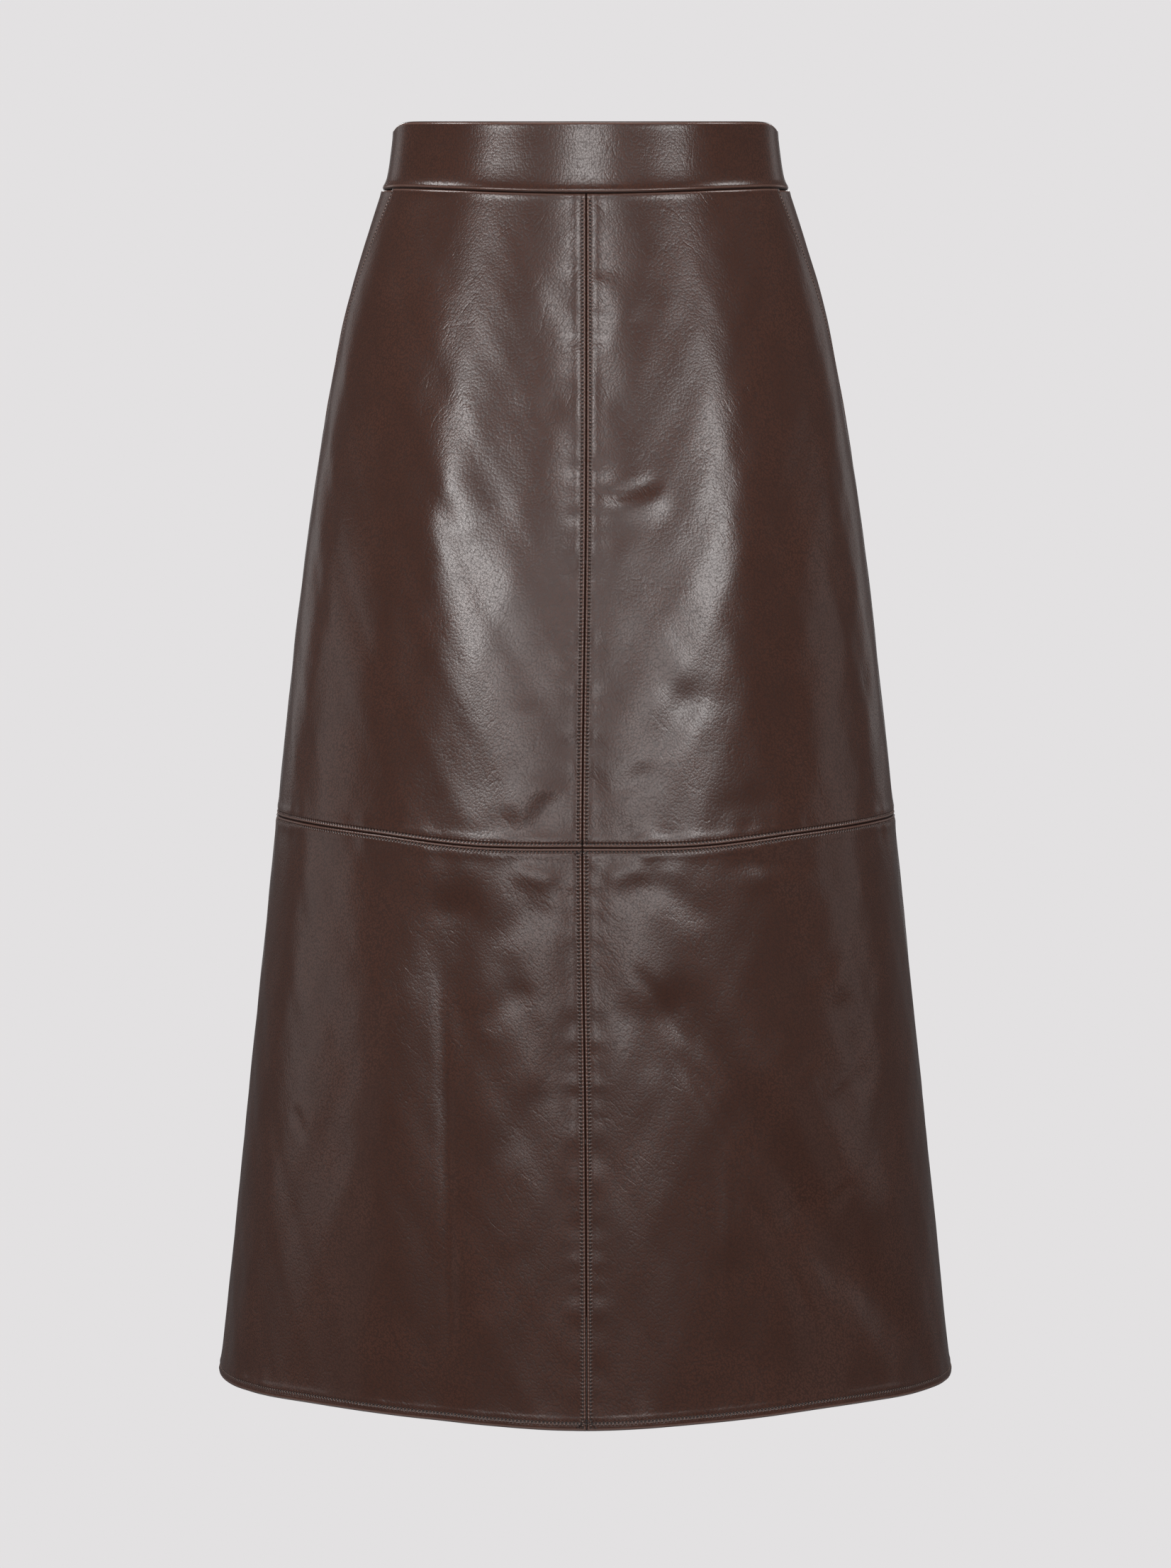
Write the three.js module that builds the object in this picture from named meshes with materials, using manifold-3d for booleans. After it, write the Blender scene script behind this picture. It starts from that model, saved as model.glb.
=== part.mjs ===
// A-line midi skirt in dark brown leather, filled out as when it is worn.
// The front faces -Y and +Z is up. Left is the wearer's left, which is +X.
// The origin is on the body's axis, half way up the waistband.
// A point of the cloth is given by its angle round the body and its drop below the band's top edge.
// The angle is in degrees: 0 at the centre front, 90 at the left side, 180 at the centre back.
import * as THREE from 'three';
import { mergeVertices } from 'three/addons/utils/BufferGeometryUtils.js';
import Module from 'manifold-3d';

// Cloth and seams, in millimetres
const LEATHER = 1.2;
const BAND_THICKNESS = 2.4;
const SEAM_GAP = 0.3;
const HALF_GAP = SEAM_GAP / 2;
const EDGE_ROLL = 0.5;

// Heights, in millimetres
const BAND_HEIGHT = 45;
const ORIGIN_DROP = BAND_HEIGHT / 2;
const HEM_TURN_UP = 9;

// The top edge dips a little at each side seam
const SIDE_DIP = 5.5;
const SIDE_DIP_SPREAD = 12.8;

// Slanted pockets: the edge starts in front of the side seam and runs down into it
const POCKET_SETBACK = 30;
const POCKET_END_DROP = 195;
const POCKET_UNDERLAP = 12;

// Concealed zip at the centre back
const ZIP_TAPE_WIDTH = 24;
const ZIP_TAPE_THICKNESS = 0.8;
const ZIP_TAPE_CLEARANCE = 0.7;
const ZIP_TOP_DROP = 16;
const ZIP_END_DROP = 215;
const SLIDER_DROP = 9;
const SLIDER_HEIGHT = 9;
const NECK_WIDTH = 1.4;
const NECK_HEIGHT = 5;

// Cross sections of the outer surface, from the band's top edge down
const SECTIONS = [
  { drop: 0, half: 123.3, front: 88, back: 90 },
  { drop: 18, half: 125.2, front: 89.5, back: 92.3 },
  { drop: 36, half: 128.0, front: 91, back: 94.8 },
  { drop: 45, half: 131.5, front: 92.3, back: 96.6 },
  { drop: 77, half: 141.9, front: 97, back: 104 },
  { drop: 114, half: 152.9, front: 103, back: 113.5 },
  { drop: 150, half: 161.0, front: 109, back: 121.5 },
  { drop: 205, half: 170.8, front: 118, back: 131 },
  { drop: 280, half: 182.0, front: 130, back: 140 },
  { drop: 370, half: 192.6, front: 141, back: 149 },
  { drop: 455, half: 201.9, front: 150, back: 156.5 },
  { drop: 560, half: 212.9, front: 159.5, back: 165 },
  { drop: 690, half: 226.8, front: 170, back: 174.5 },
  { drop: 800, half: 238.5, front: 178.5, back: 182 },
  { drop: 825, half: 242.3, front: 180.8, back: 184 },
];

// Level seams, as a drop at each angle from the centre front to the centre back
const SEAM_LINES = [
  { angle: 0, waist: 45, middle: 455, hem: 822 },
  { angle: 20, waist: 44.4, middle: 455, hem: 819 },
  { angle: 42, waist: 43, middle: 450.3, hem: 816 },
  { angle: 65, waist: 42.3, middle: 448.5, hem: 818 },
  { angle: 90, waist: 44, middle: 449.5, hem: 819.5 },
  { angle: 135, waist: 44.6, middle: 451, hem: 820 },
  { angle: 180, waist: 45, middle: 452, hem: 820 },
];

// The centre front seam wanders a little to each side, in millimetres towards the left side
const CENTRE_FRONT = [
  { drop: 0, shift: 0.4 },
  { drop: 240, shift: 0.3 },
  { drop: 455, shift: -2 },
  { drop: 640, shift: 0 },
  { drop: 825, shift: 0.8 },
];

// Soft folds: a line from one place to another, its half width, and how far it goes in
const FOLDS = [
  { name: 'right lower valley', angle: -24, drop: 500, toAngle: -23, toDrop: 840, width: 17, depth: 3.2 },
  { name: 'right lower roll', angle: -38, drop: 560, toAngle: -39, toDrop: 840, width: 24, depth: -1.8 },
  { name: 'left lower valley', angle: 16, drop: 560, toAngle: 37, toDrop: 685, width: 17, depth: 2.8 },
  { name: 'left lower tail', angle: 38, drop: 700, toAngle: 66, toDrop: 795, width: 18, depth: 2.4 },
  { name: 'left lower roll', angle: 34, drop: 600, toAngle: 54, toDrop: 690, width: 24, depth: -1.8 },
  { name: 'right back valley', angle: -152, drop: 520, toAngle: -149, toDrop: 840, width: 20, depth: 3.4 },
  { name: 'left back valley', angle: 140, drop: 560, toAngle: 147, toDrop: 840, width: 18, depth: 2.8 },
  { name: 'left back roll', angle: 122, drop: 600, toAngle: 118, toDrop: 840, width: 24, depth: -2 },
];

// Colours and finishes
const leather = { color: 0x412b25, roughness: 0.42, metalness: 0 };
const hipLeather = { color: 0x4a332c, roughness: 0.42, metalness: 0 };
const bandLeather = { color: 0x38231e, roughness: 0.4, metalness: 0 };
const zipTextile = { color: 0x2c1c18, roughness: 0.85, metalness: 0 };
const zipMetal = { color: 0x3a2a24, roughness: 0.35, metalness: 0.6 };

const wasm = await Module();
wasm.setup();

const radians = THREE.MathUtils.degToRad;
const mix = THREE.MathUtils.lerp;
const smooth = THREE.MathUtils.smoothstep;

// One column of a table at a place along it, on a smooth curve through the rows
function along(table, key, column, at, levelEnds = false) {
  const last = table.length - 1;
  let row = 0;
  while (row < last - 1 && table[row + 1][key] <= at) row += 1;
  const slope = (index) => {
    if (levelEnds && (index === 0 || index === last)) return 0;
    const before = table[Math.max(index - 1, 0)];
    const after = table[Math.min(index + 1, last)];
    return (after[column] - before[column]) / (after[key] - before[key]);
  };
  const low = table[row];
  const high = table[row + 1];
  const span = high[key] - low[key];
  const t = THREE.MathUtils.clamp((at - low[key]) / span, 0, 1);
  const t2 = t * t;
  const t3 = t2 * t;
  const ends = (2 * t3 - 3 * t2 + 1) * low[column] + (3 * t2 - 2 * t3) * high[column];
  const turns = (t3 - 2 * t2 + t) * slope(row) + (t3 - t2) * slope(row + 1);
  return ends + span * turns;
}

const halfWidth = (drop) => along(SECTIONS, 'drop', 'half', drop);
const depth = (angle, drop) => along(SECTIONS, 'drop', Math.abs(angle) <= 90 ? 'front' : 'back', drop);

// The outer surface before any fold
function surface(angle, drop) {
  const turn = radians(angle);
  const x = halfWidth(drop) * Math.sin(turn);
  const y = -depth(angle, drop) * Math.cos(turn);
  return new THREE.Vector3(x, y, ORIGIN_DROP - drop);
}

function outward(angle, drop) {
  const step = 0.5;
  const across = surface(angle + step, drop).sub(surface(angle - step, drop));
  const down = surface(angle, drop + step).sub(surface(angle, drop - step));
  return down.cross(across).normalize();
}

// Millimetres of cloth in one degree round the body
function clothPerDegree(angle, drop) {
  const turn = radians(angle);
  return radians(Math.hypot(halfWidth(drop) * Math.cos(turn), depth(angle, drop) * Math.sin(turn)));
}

const shifted = (angle, drop, distance) => angle + distance / clothPerDegree(angle, drop);

// How far the folds lift the cloth at a place, less than nothing in a valley
function foldHeight(angle, drop) {
  let height = 0;
  for (const fold of FOLDS) {
    const perDegree = radians((halfWidth(drop) + depth(angle, drop)) / 2);
    const run = new THREE.Vector2((fold.toAngle - fold.angle) * perDegree, fold.toDrop - fold.drop);
    const place = new THREE.Vector2((angle - fold.angle) * perDegree, drop - fold.drop);
    const share = THREE.MathUtils.clamp(place.dot(run) / run.lengthSq(), 0, 1);
    const distance = place.distanceTo(run.multiplyScalar(share));
    height -= fold.depth * Math.exp(-((distance / fold.width) ** 2));
  }
  return height;
}

// A point at a distance outside the cloth's face, or inside it where the distance is below nothing
function clothPoint(angle, drop, distance) {
  return surface(angle, drop).addScaledVector(outward(angle, drop), distance + foldHeight(angle, drop));
}

const topEdge = (angle) => SIDE_DIP * Math.exp(-(((Math.abs(angle) - 90) / SIDE_DIP_SPREAD) ** 2));
const seamDrop = (name, angle) => along(SEAM_LINES, 'angle', name, Math.abs(angle), true);
const waistSeam = (angle) => seamDrop('waist', angle);
const middleSeam = (angle) => seamDrop('middle', angle);
const hemEdge = (angle) => seamDrop('hem', angle);

function centreFront(drop) {
  const shift = along(CENTRE_FRONT, 'drop', 'shift', drop);
  return THREE.MathUtils.radToDeg(Math.asin(shift / halfWidth(drop)));
}

// Cloth between the pocket's edge and the side seam
function pocketWidth(drop) {
  const share = (POCKET_END_DROP - drop) / (POCKET_END_DROP - BAND_HEIGHT);
  return POCKET_SETBACK * THREE.MathUtils.clamp(share, 0, 1);
}

// A closed wall over a grid. A column gives an angle for a drop, and a row a drop for an angle.
// The faces give the distance of the outer and inner face at a column, a row, an angle and a drop.
function wall(columns, rows, outerFace, innerFace) {
  const wide = columns.length;
  const high = rows.length;
  const outer = [];
  const inner = [];
  rows.forEach((row, r) => {
    columns.forEach((column, c) => {
      let drop = row(90);
      let angle = column(drop);
      for (let pass = 0; pass < 4; pass += 1) {
        drop = row(angle);
        angle = column(drop);
      }
      outer.push(clothPoint(angle, drop, outerFace(c, r, angle, drop)));
      inner.push(clothPoint(angle, drop, innerFace(c, r, angle, drop)));
    });
  });
  const count = wide * high;
  const at = (c, r) => r * wide + c;
  const triangles = [];
  const quad = (a, b, c, d) => triangles.push(a, b, c, a, c, d);
  for (let r = 0; r < high - 1; r += 1) {
    for (let c = 0; c < wide - 1; c += 1) {
      const [near, below, far, beside] = [at(c, r), at(c, r + 1), at(c + 1, r + 1), at(c + 1, r)];
      quad(near, below, far, beside);
      quad(near + count, beside + count, far + count, below + count);
    }
  }
  const rim = (a, b) => quad(b, a, a + count, b + count);
  for (let c = 0; c < wide - 1; c += 1) {
    rim(at(c + 1, 0), at(c, 0));
    rim(at(c, high - 1), at(c + 1, high - 1));
  }
  for (let r = 0; r < high - 1; r += 1) {
    rim(at(0, r), at(0, r + 1));
    rim(at(wide - 1, r + 1), at(wide - 1, r));
  }
  const geometry = new THREE.BufferGeometry().setFromPoints([...outer, ...inner]);
  geometry.setIndex(triangles);
  geometry.computeVertexNormals();
  return geometry;
}

const steps = (count) => Array.from({ length: count + 1 }, (_, index) => index / count);

// Columns spread evenly from one edge to another
function evenColumns(from, to, count) {
  return steps(count).map((share) => (drop) => mix(from(drop), to(drop), share));
}

function evenRows(from, to, count) {
  return steps(count).map((share) => (angle) => mix(from(angle), to(angle), share));
}

// The edge of a piece on one side of a seam: side is +1 or -1
const edgeOf = (line, side, distance) => (drop) => shifted(line(drop), drop, side * distance);

const skirt = new THREE.Group();

function add(name, geometry, finish, parent = skirt) {
  const mesh = new THREE.Mesh(geometry, new THREE.MeshStandardMaterial(finish));
  mesh.name = name;
  parent.add(mesh);
  return mesh;
}

// Waistband: two layers with a rolled top edge. Each row gives its share of the height
// and how far the roll draws in the outer and the inner face there.
const NOTCH_HALF_HEIGHT = NECK_HEIGHT / 2 + SEAM_GAP;
const NOTCH_LEDGE = 0.2;
const BAND_ROWS = [
  { drop: 0, outer: 0.9, inner: 0.9 },
  { drop: 0.4, outer: 0.35, inner: 0.35 },
  { drop: 1.4, outer: 0, inner: 0 },
  { drop: SLIDER_DROP - NOTCH_HALF_HEIGHT - NOTCH_LEDGE, outer: 0, inner: 0 },
  { drop: SLIDER_DROP - NOTCH_HALF_HEIGHT, outer: 0, inner: 0 },
  { drop: SLIDER_DROP + NOTCH_HALF_HEIGHT, outer: 0, inner: 0 },
  { drop: SLIDER_DROP + NOTCH_HALF_HEIGHT + NOTCH_LEDGE, outer: 0, inner: 0 },
  { drop: 20, outer: 0, inner: 0 },
  { drop: 32, outer: 0, inner: 0 },
  { drop: BAND_HEIGHT, outer: 0, inner: 0 },
];

function bandWall(columns, rowTable) {
  const foot = (angle) => waistSeam(angle) - HALF_GAP;
  const rows = rowTable.map((row) => (angle) => mix(topEdge(angle), foot(angle), row.drop / BAND_HEIGHT));
  const outerFace = (c, r) => -rowTable[r].outer;
  const innerFace = (c, r) => rowTable[r].inner - BAND_THICKNESS;
  return wall(columns, rows, outerFace, innerFace);
}

// The back halves leave a notch for the zip slider's neck
function notchedBack(side) {
  return (drop) => {
    const inNotch = Math.abs(drop - SLIDER_DROP) < NOTCH_HALF_HEIGHT + NOTCH_LEDGE / 2;
    const setback = inNotch ? NECK_WIDTH / 2 + SEAM_GAP : HALF_GAP;
    return shifted(side * 180, drop, -side * setback);
  };
}

const straight = (angle) => () => angle;
const plainRows = BAND_ROWS.filter((row) => Math.abs(row.drop - SLIDER_DROP) > NOTCH_HALF_HEIGHT + NOTCH_LEDGE * 2);
const bandFront = evenColumns(edgeOf(straight(-90), 1, HALF_GAP), edgeOf(straight(90), -1, HALF_GAP), 32);
add('waistband_front', bandWall(bandFront, plainRows), bandLeather);

const SIDES = [
  { name: 'left', side: 1 },
  { name: 'right', side: -1 },
];

// Columns run from the wearer's right to left, so a right piece has its columns turned round
const ordered = (columns, side) => (side > 0 ? columns : [...columns].reverse());

const belowWaistSeam = (angle) => waistSeam(angle) + HALF_GAP;
const aboveMiddleSeam = (angle) => middleSeam(angle) - HALF_GAP;
const belowMiddleSeam = (angle) => middleSeam(angle) + HALF_GAP;
const outerLeather = () => 0;
const innerLeather = () => -LEATHER;

// The hem is turned up inside, so the wall is double there and rolled at its edge
function lowerRows(count) {
  const body = evenRows(belowMiddleSeam, (angle) => hemEdge(angle) - HEM_TURN_UP - EDGE_ROLL, count);
  const turnUp = (angle) => hemEdge(angle) - HEM_TURN_UP;
  const roll = (angle) => hemEdge(angle) - EDGE_ROLL;
  return [...body, turnUp, roll, hemEdge];
}

function lowerPanel(columns) {
  const rows = lowerRows(13);
  const hem = rows.length - 1;
  const outerFace = (c, r) => (r === hem ? -EDGE_ROLL : 0);
  const innerFace = (c, r) => {
    if (r === hem) return EDGE_ROLL - 2 * LEATHER;
    return r >= hem - 2 ? -2 * LEATHER : -LEATHER;
  };
  return wall(columns, rows, outerFace, innerFace);
}

for (const { name, side } of SIDES) {
  const sideSeam = straight(side * 90);
  const centreBack = straight(side * 180);
  const frontCentre = edgeOf(centreFront, side, HALF_GAP);
  const frontSide = edgeOf(sideSeam, -side, HALF_GAP);
  const backSide = edgeOf(sideSeam, side, HALF_GAP);
  const backCentre = edgeOf(centreBack, -side, HALF_GAP);

  const bandBack = ordered(evenColumns(backSide, notchedBack(side), 14), side);
  add(`waistband_back_${name}`, bandWall(bandBack, BAND_ROWS), bandLeather);

  const pocketEdge = (drop) => shifted(side * 90, drop, -side * (pocketWidth(drop) + HALF_GAP));
  const underlapEdge = (drop) => shifted(side * 90, drop, -side * (pocketWidth(drop) + POCKET_UNDERLAP));
  const underlapMiddle = (drop) => (pocketEdge(drop) + underlapEdge(drop)) / 2;
  const upperFront = [...evenColumns(frontCentre, underlapEdge, 11), underlapMiddle, pocketEdge];
  const toPocketEnd = evenRows(belowWaistSeam, () => POCKET_END_DROP, 7);
  const toMiddle = evenRows(() => POCKET_END_DROP, aboveMiddleSeam, 9).slice(1);
  const upperRows = [...toPocketEnd, ...toMiddle];
  const frontWall = wall(ordered(upperFront, side), upperRows, outerLeather, innerLeather);
  add(`front_upper_${name}`, frontWall, leather);

  // The hip piece lies under the pocket's edge and comes out flush at the side seam
  const hipFace = (c, r, angle, drop) => {
    const width = pocketWidth(drop);
    const shown = width - (90 - Math.abs(angle)) * clothPerDegree(angle, drop);
    const rise = smooth(shown, 0, Math.max(width, 1)) * smooth(width, 3, 9);
    return -(LEATHER + SEAM_GAP + HALF_GAP) * (1 - rise);
  };
  const hipColumns = ordered(evenColumns(underlapEdge, frontSide, 6), side);
  const hipFoot = () => POCKET_END_DROP + POCKET_UNDERLAP;
  const hipRows = evenRows(belowWaistSeam, hipFoot, 9);
  const hipInner = (...place) => hipFace(...place) - LEATHER;
  add(`hip_${name}`, wall(hipColumns, hipRows, hipFace, hipInner), hipLeather);

  const upperBack = ordered(evenColumns(backSide, backCentre, 12), side);
  const upperBackRows = evenRows(belowWaistSeam, aboveMiddleSeam, 14);
  add(`back_upper_${name}`, wall(upperBack, upperBackRows, outerLeather, innerLeather), leather);

  add(`front_lower_${name}`, lowerPanel(ordered(evenColumns(frontCentre, frontSide, 14), side)), leather);
  add(`back_lower_${name}`, lowerPanel(ordered(evenColumns(backSide, backCentre, 13), side)), leather);
}

// Zip tape inside the centre back seam, with its closed coil as a ridge down the middle
const COIL_HALF_WIDTH = 1.5;
const COIL_HEIGHT = 1.6;
const COIL_FLANK = 0.3;
const TAPE_ACROSS = [ZIP_TAPE_WIDTH / 2, ZIP_TAPE_WIDTH / 4, COIL_HALF_WIDTH + COIL_FLANK, COIL_HALF_WIDTH];
const tapePlaces = [...TAPE_ACROSS.map((place) => -place), ...[...TAPE_ACROSS].reverse()];
const tapeFace = (c, r, angle, drop) => {
  const behindBand = -(BAND_THICKNESS + ZIP_TAPE_CLEARANCE);
  const behindPanel = -(LEATHER + ZIP_TAPE_CLEARANCE);
  return mix(behindBand, behindPanel, smooth(drop, BAND_HEIGHT + 1, BAND_HEIGHT + 12));
};
const tapeInner = (c, r, angle, drop) => {
  const ridge = Math.abs(tapePlaces[c]) <= COIL_HALF_WIDTH ? COIL_HEIGHT : 0;
  return tapeFace(c, r, angle, drop) - ZIP_TAPE_THICKNESS - ridge;
};
const tapeColumns = tapePlaces.map((place) => (drop) => shifted(180, drop, place));
const TAPE_ROWS = [ZIP_TOP_DROP, 28, 40, BAND_HEIGHT + 1, 51, BAND_HEIGHT + 12, 75, 95, 120, 150, 180, ZIP_END_DROP];
const tapeRows = TAPE_ROWS.map((drop) => () => drop);
add('zip_tape', wall(tapeColumns, tapeRows, tapeFace, tapeInner), zipTextile);

// Zip slider and pull, in a frame on the band's face: Y points out of the cloth and Z up along it
function toManifold(geometry) {
  const bare = geometry.clone();
  bare.deleteAttribute('normal');
  bare.deleteAttribute('uv');
  const merged = mergeVertices(bare, 1e-4);
  const vertProperties = new Float32Array(merged.getAttribute('position').array);
  const triVerts = new Uint32Array(merged.getIndex().array);
  return new wasm.Manifold(new wasm.Mesh({ numProp: 3, vertProperties, triVerts }));
}

function joined(geometries) {
  const whole = geometries.map(toManifold).reduce((sum, piece) => sum.add(piece));
  const mesh = whole.getMesh();
  const geometry = new THREE.BufferGeometry();
  geometry.setAttribute('position', new THREE.BufferAttribute(mesh.vertProperties, 3));
  geometry.setIndex(new THREE.BufferAttribute(mesh.triVerts, 1));
  return geometry;
}

// A plate with round ends, flat against the cloth, between two distances from it
function plate(width, height, from, to) {
  const radius = width / 2;
  const reach = height / 2 - radius;
  const shape = new THREE.Shape();
  shape.absarc(0, reach, radius, 0, Math.PI);
  shape.absarc(0, -reach, radius, Math.PI, 2 * Math.PI);
  const geometry = new THREE.ExtrudeGeometry(shape, { depth: to - from, bevelEnabled: false, curveSegments: 8 });
  return geometry.rotateX(Math.PI / 2).translate(0, to, 0);
}

const PLATE_WIDTH = 5;
const PLATE_OUT = 1.1;
const PIN_OUT = 2.6;
const PIN_UP = 1.5;
const PIN_RADIUS = 0.45;
const CHEEK_INSIDE = 1.7;
const CHEEK_THICKNESS = 0.8;
const EYE_RADIUS = 1.2;
const EYE_HALF_WIDTH = CHEEK_INSIDE - SEAM_GAP;
const BODY_WIDTH = 7;
const BODY_IN = 6.2;
const TAB_LENGTH = 21;
const TAB_THICKNESS = 1;
const TAB_TOP_WIDTH = 2.6;
const TAB_FOOT_WIDTH = 6;

function cheek(side) {
  const radius = PIN_RADIUS + 0.5;
  const reach = PIN_OUT - PLATE_OUT + 0.3;
  const shape = new THREE.Shape();
  shape.moveTo(-radius, -reach);
  shape.lineTo(radius, -reach);
  shape.absarc(0, 0, radius, 0, Math.PI);
  const geometry = new THREE.ExtrudeGeometry(shape, { depth: CHEEK_THICKNESS, bevelEnabled: false, curveSegments: 8 });
  const inner = side > 0 ? CHEEK_INSIDE : -CHEEK_INSIDE - CHEEK_THICKNESS;
  return geometry.rotateY(Math.PI / 2).translate(inner, PIN_OUT, PIN_UP);
}

function pin(radius, halfLength) {
  const geometry = new THREE.CylinderGeometry(radius, radius, 2 * halfLength, 12);
  return geometry.rotateZ(Math.PI / 2).translate(0, PIN_OUT, PIN_UP);
}

const bodyInside = -(BAND_THICKNESS + SEAM_GAP);
const neckLength = PLATE_OUT - bodyInside;
const neckMiddle = (PLATE_OUT + bodyInside) / 2 - 0.2;
const neck = new THREE.BoxGeometry(NECK_WIDTH, neckLength, NECK_HEIGHT).translate(0, neckMiddle, 0);
const sliderPieces = [
  plate(PLATE_WIDTH, SLIDER_HEIGHT, SEAM_GAP, PLATE_OUT),
  neck,
  plate(BODY_WIDTH, SLIDER_HEIGHT, -BODY_IN, bodyInside),
  cheek(1),
  cheek(-1),
  pin(PIN_RADIUS, CHEEK_INSIDE + CHEEK_THICKNESS / 2),
];

// The pull tab: an eye round the pin and a drop-shaped tab below it
function pullTab() {
  const eye = new THREE.Shape();
  eye.absarc(0, 0, EYE_RADIUS, 0, 2 * Math.PI);
  const hole = new THREE.Path();
  hole.absarc(0, 0, PIN_RADIUS + SEAM_GAP, 0, 2 * Math.PI, true);
  eye.holes.push(hole);
  const ring = new THREE.ExtrudeGeometry(eye, { depth: 2 * EYE_HALF_WIDTH, bevelEnabled: false, curveSegments: 8 });
  ring.rotateY(Math.PI / 2).translate(-EYE_HALF_WIDTH, 0, 0);

  const foot = TAB_FOOT_WIDTH / 2;
  const tab = new THREE.Shape();
  tab.moveTo(TAB_TOP_WIDTH / 2, -EYE_RADIUS + 0.2);
  tab.lineTo(-TAB_TOP_WIDTH / 2, -EYE_RADIUS + 0.2);
  tab.lineTo(-foot, foot - TAB_LENGTH);
  tab.absarc(0, foot - TAB_LENGTH, foot, Math.PI, 2 * Math.PI);
  const leaf = new THREE.ExtrudeGeometry(tab, { depth: TAB_THICKNESS, bevelEnabled: false, curveSegments: 8 });
  leaf.rotateX(Math.PI / 2).translate(0, TAB_THICKNESS / 2, 0);
  return joined([ring, leaf]);
}

const zipTop = new THREE.Group();
zipTop.position.copy(surface(180, SLIDER_DROP));
const zipFace = outward(180, SLIDER_DROP);
zipTop.rotation.x = Math.atan2(zipFace.z, zipFace.y);
skirt.add(zipTop);
add('zip_slider', joined(sliderPieces), zipMetal, zipTop);
const pull = add('zip_pull', pullTab(), zipMetal, zipTop);
pull.position.set(0, PIN_OUT, PIN_UP);

export default skirt;
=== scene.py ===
"""Looks of an A-line leather skirt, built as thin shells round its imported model.

Lengths in the tables are millimetres, and meshes are written in metres. A place on the cloth is
its angle round the body, 0 at the centre front and 90 at the wearer's left side, and its drop
below the waistband's top edge.
"""

import math

import bmesh
import bpy
import numpy as np
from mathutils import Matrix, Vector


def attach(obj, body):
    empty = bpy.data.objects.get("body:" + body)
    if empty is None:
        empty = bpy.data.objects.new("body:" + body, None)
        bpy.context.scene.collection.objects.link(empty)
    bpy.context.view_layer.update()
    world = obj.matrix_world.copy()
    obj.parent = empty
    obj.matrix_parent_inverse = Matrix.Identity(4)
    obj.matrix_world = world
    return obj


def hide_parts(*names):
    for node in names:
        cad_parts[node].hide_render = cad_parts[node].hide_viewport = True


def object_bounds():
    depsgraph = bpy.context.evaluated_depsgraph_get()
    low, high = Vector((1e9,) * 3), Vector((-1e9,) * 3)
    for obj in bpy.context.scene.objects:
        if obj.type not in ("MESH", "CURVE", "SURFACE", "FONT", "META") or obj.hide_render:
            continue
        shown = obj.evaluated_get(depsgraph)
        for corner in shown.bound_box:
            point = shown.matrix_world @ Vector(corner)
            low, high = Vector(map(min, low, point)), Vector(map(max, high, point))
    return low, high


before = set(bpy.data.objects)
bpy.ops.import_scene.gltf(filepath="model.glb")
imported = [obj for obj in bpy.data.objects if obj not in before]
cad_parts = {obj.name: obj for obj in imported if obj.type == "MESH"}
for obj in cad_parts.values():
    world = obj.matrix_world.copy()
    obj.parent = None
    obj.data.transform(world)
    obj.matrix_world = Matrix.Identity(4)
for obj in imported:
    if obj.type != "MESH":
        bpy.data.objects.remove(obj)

cad_low, cad_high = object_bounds()

bl_info = {
    "name": "Leather skirt",
    "version": (1, 0, 0),
    "blender": (4, 5, 0),
    "location": "View3D > Sidebar > Skirt",
    "description": "Builds a topstitched A-line leather skirt and its studio",
    "category": "Object",
}

# Sizes shared with the solids, in millimetres
BAND_HEIGHT = 45.0
ORIGIN_DROP = BAND_HEIGHT / 2
LEATHER = 1.2
BAND_THICKNESS = 2.4
HALF_GAP = 0.15          # from a seam's line to the solid on each side
HEM_TURN_UP = 9.0
SIDE_DIP = 5.5           # the top edge's drop at the side seams
SIDE_DIP_SPREAD = 12.8
POCKET_SETBACK = 30.0    # from the side seam to the pocket edge, at the band
POCKET_END_DROP = 195.0
POCKET_UNDERLAP = 12.0   # hip leather hidden under the pocket edge
ZIP_END_DROP = 215.0
SLIDER_DROP = 9.0
TAPE_HALF_WIDTH = 12.0
TAPE_TOP = 16.0
TAPE_THICKNESS = 0.8
TAPE_CLEARANCE = 0.7     # between the tape and the leather's inner face
NOTCH_HALF_HEIGHT = 2.8
NOTCH_SETBACK = 1.0      # room beside the slider's neck
MM = 0.001

# Folds, edges and sewing of the shells alone: lengths in millimetres, angles in degrees, or shares
SEAM_REST = 0.01         # from a seam's line to the shell on each side
BAND_LEAN = 2.2          # lean of the band's front over its height
CREASE_DEPTH = 1.6       # factor on the depths in the table of creases
LIP_SHARE = 0.4          # height of the soft lips of a crease, of its depth
LIP_REACH = 2.1          # width of those lips, of its own
BAND_SHARE = 0.12        # how much of the creases is left on the band
LOOSENING = 60.0         # drop below the band over which they come in
ZIP_HOLD = 12.0          # degrees beside the centre back that ripples fade over
BAND_ROLL = 0.95         # how far the top edge rolls in
HEM_ROLL = 0.85          # how far the hem's fold rolls in
STITCH_WANDER = 0.03     # unevenness of the places of stitches
STITCH_SLANT = 5.0       # turn of each stitch from its row
SLANT_SPREAD = 1.5       # unevenness of that turn
COIL_SHARE = 0.36        # radius of a turn of the coil, of its pitch
COIL_SLANT = 14.0        # lean of the coil's turns, to each side by turns
LOT_STEP = 0.37          # from one piece's place on the hide to the next
ROW_TUCK = 2.0           # the pocket's row starts this far under the band
POCKET_ROW_STOP = 4.0    # and stops this far above the pocket's end
HEM_ROW_STOP = 1.5       # centre rows stop this far above the hem's edge
ZIP_ROW_START = 6.0      # and start this far below the zip behind
HIP_RISE = (3, 9)        # widths of the hip piece between which it comes out
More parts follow.
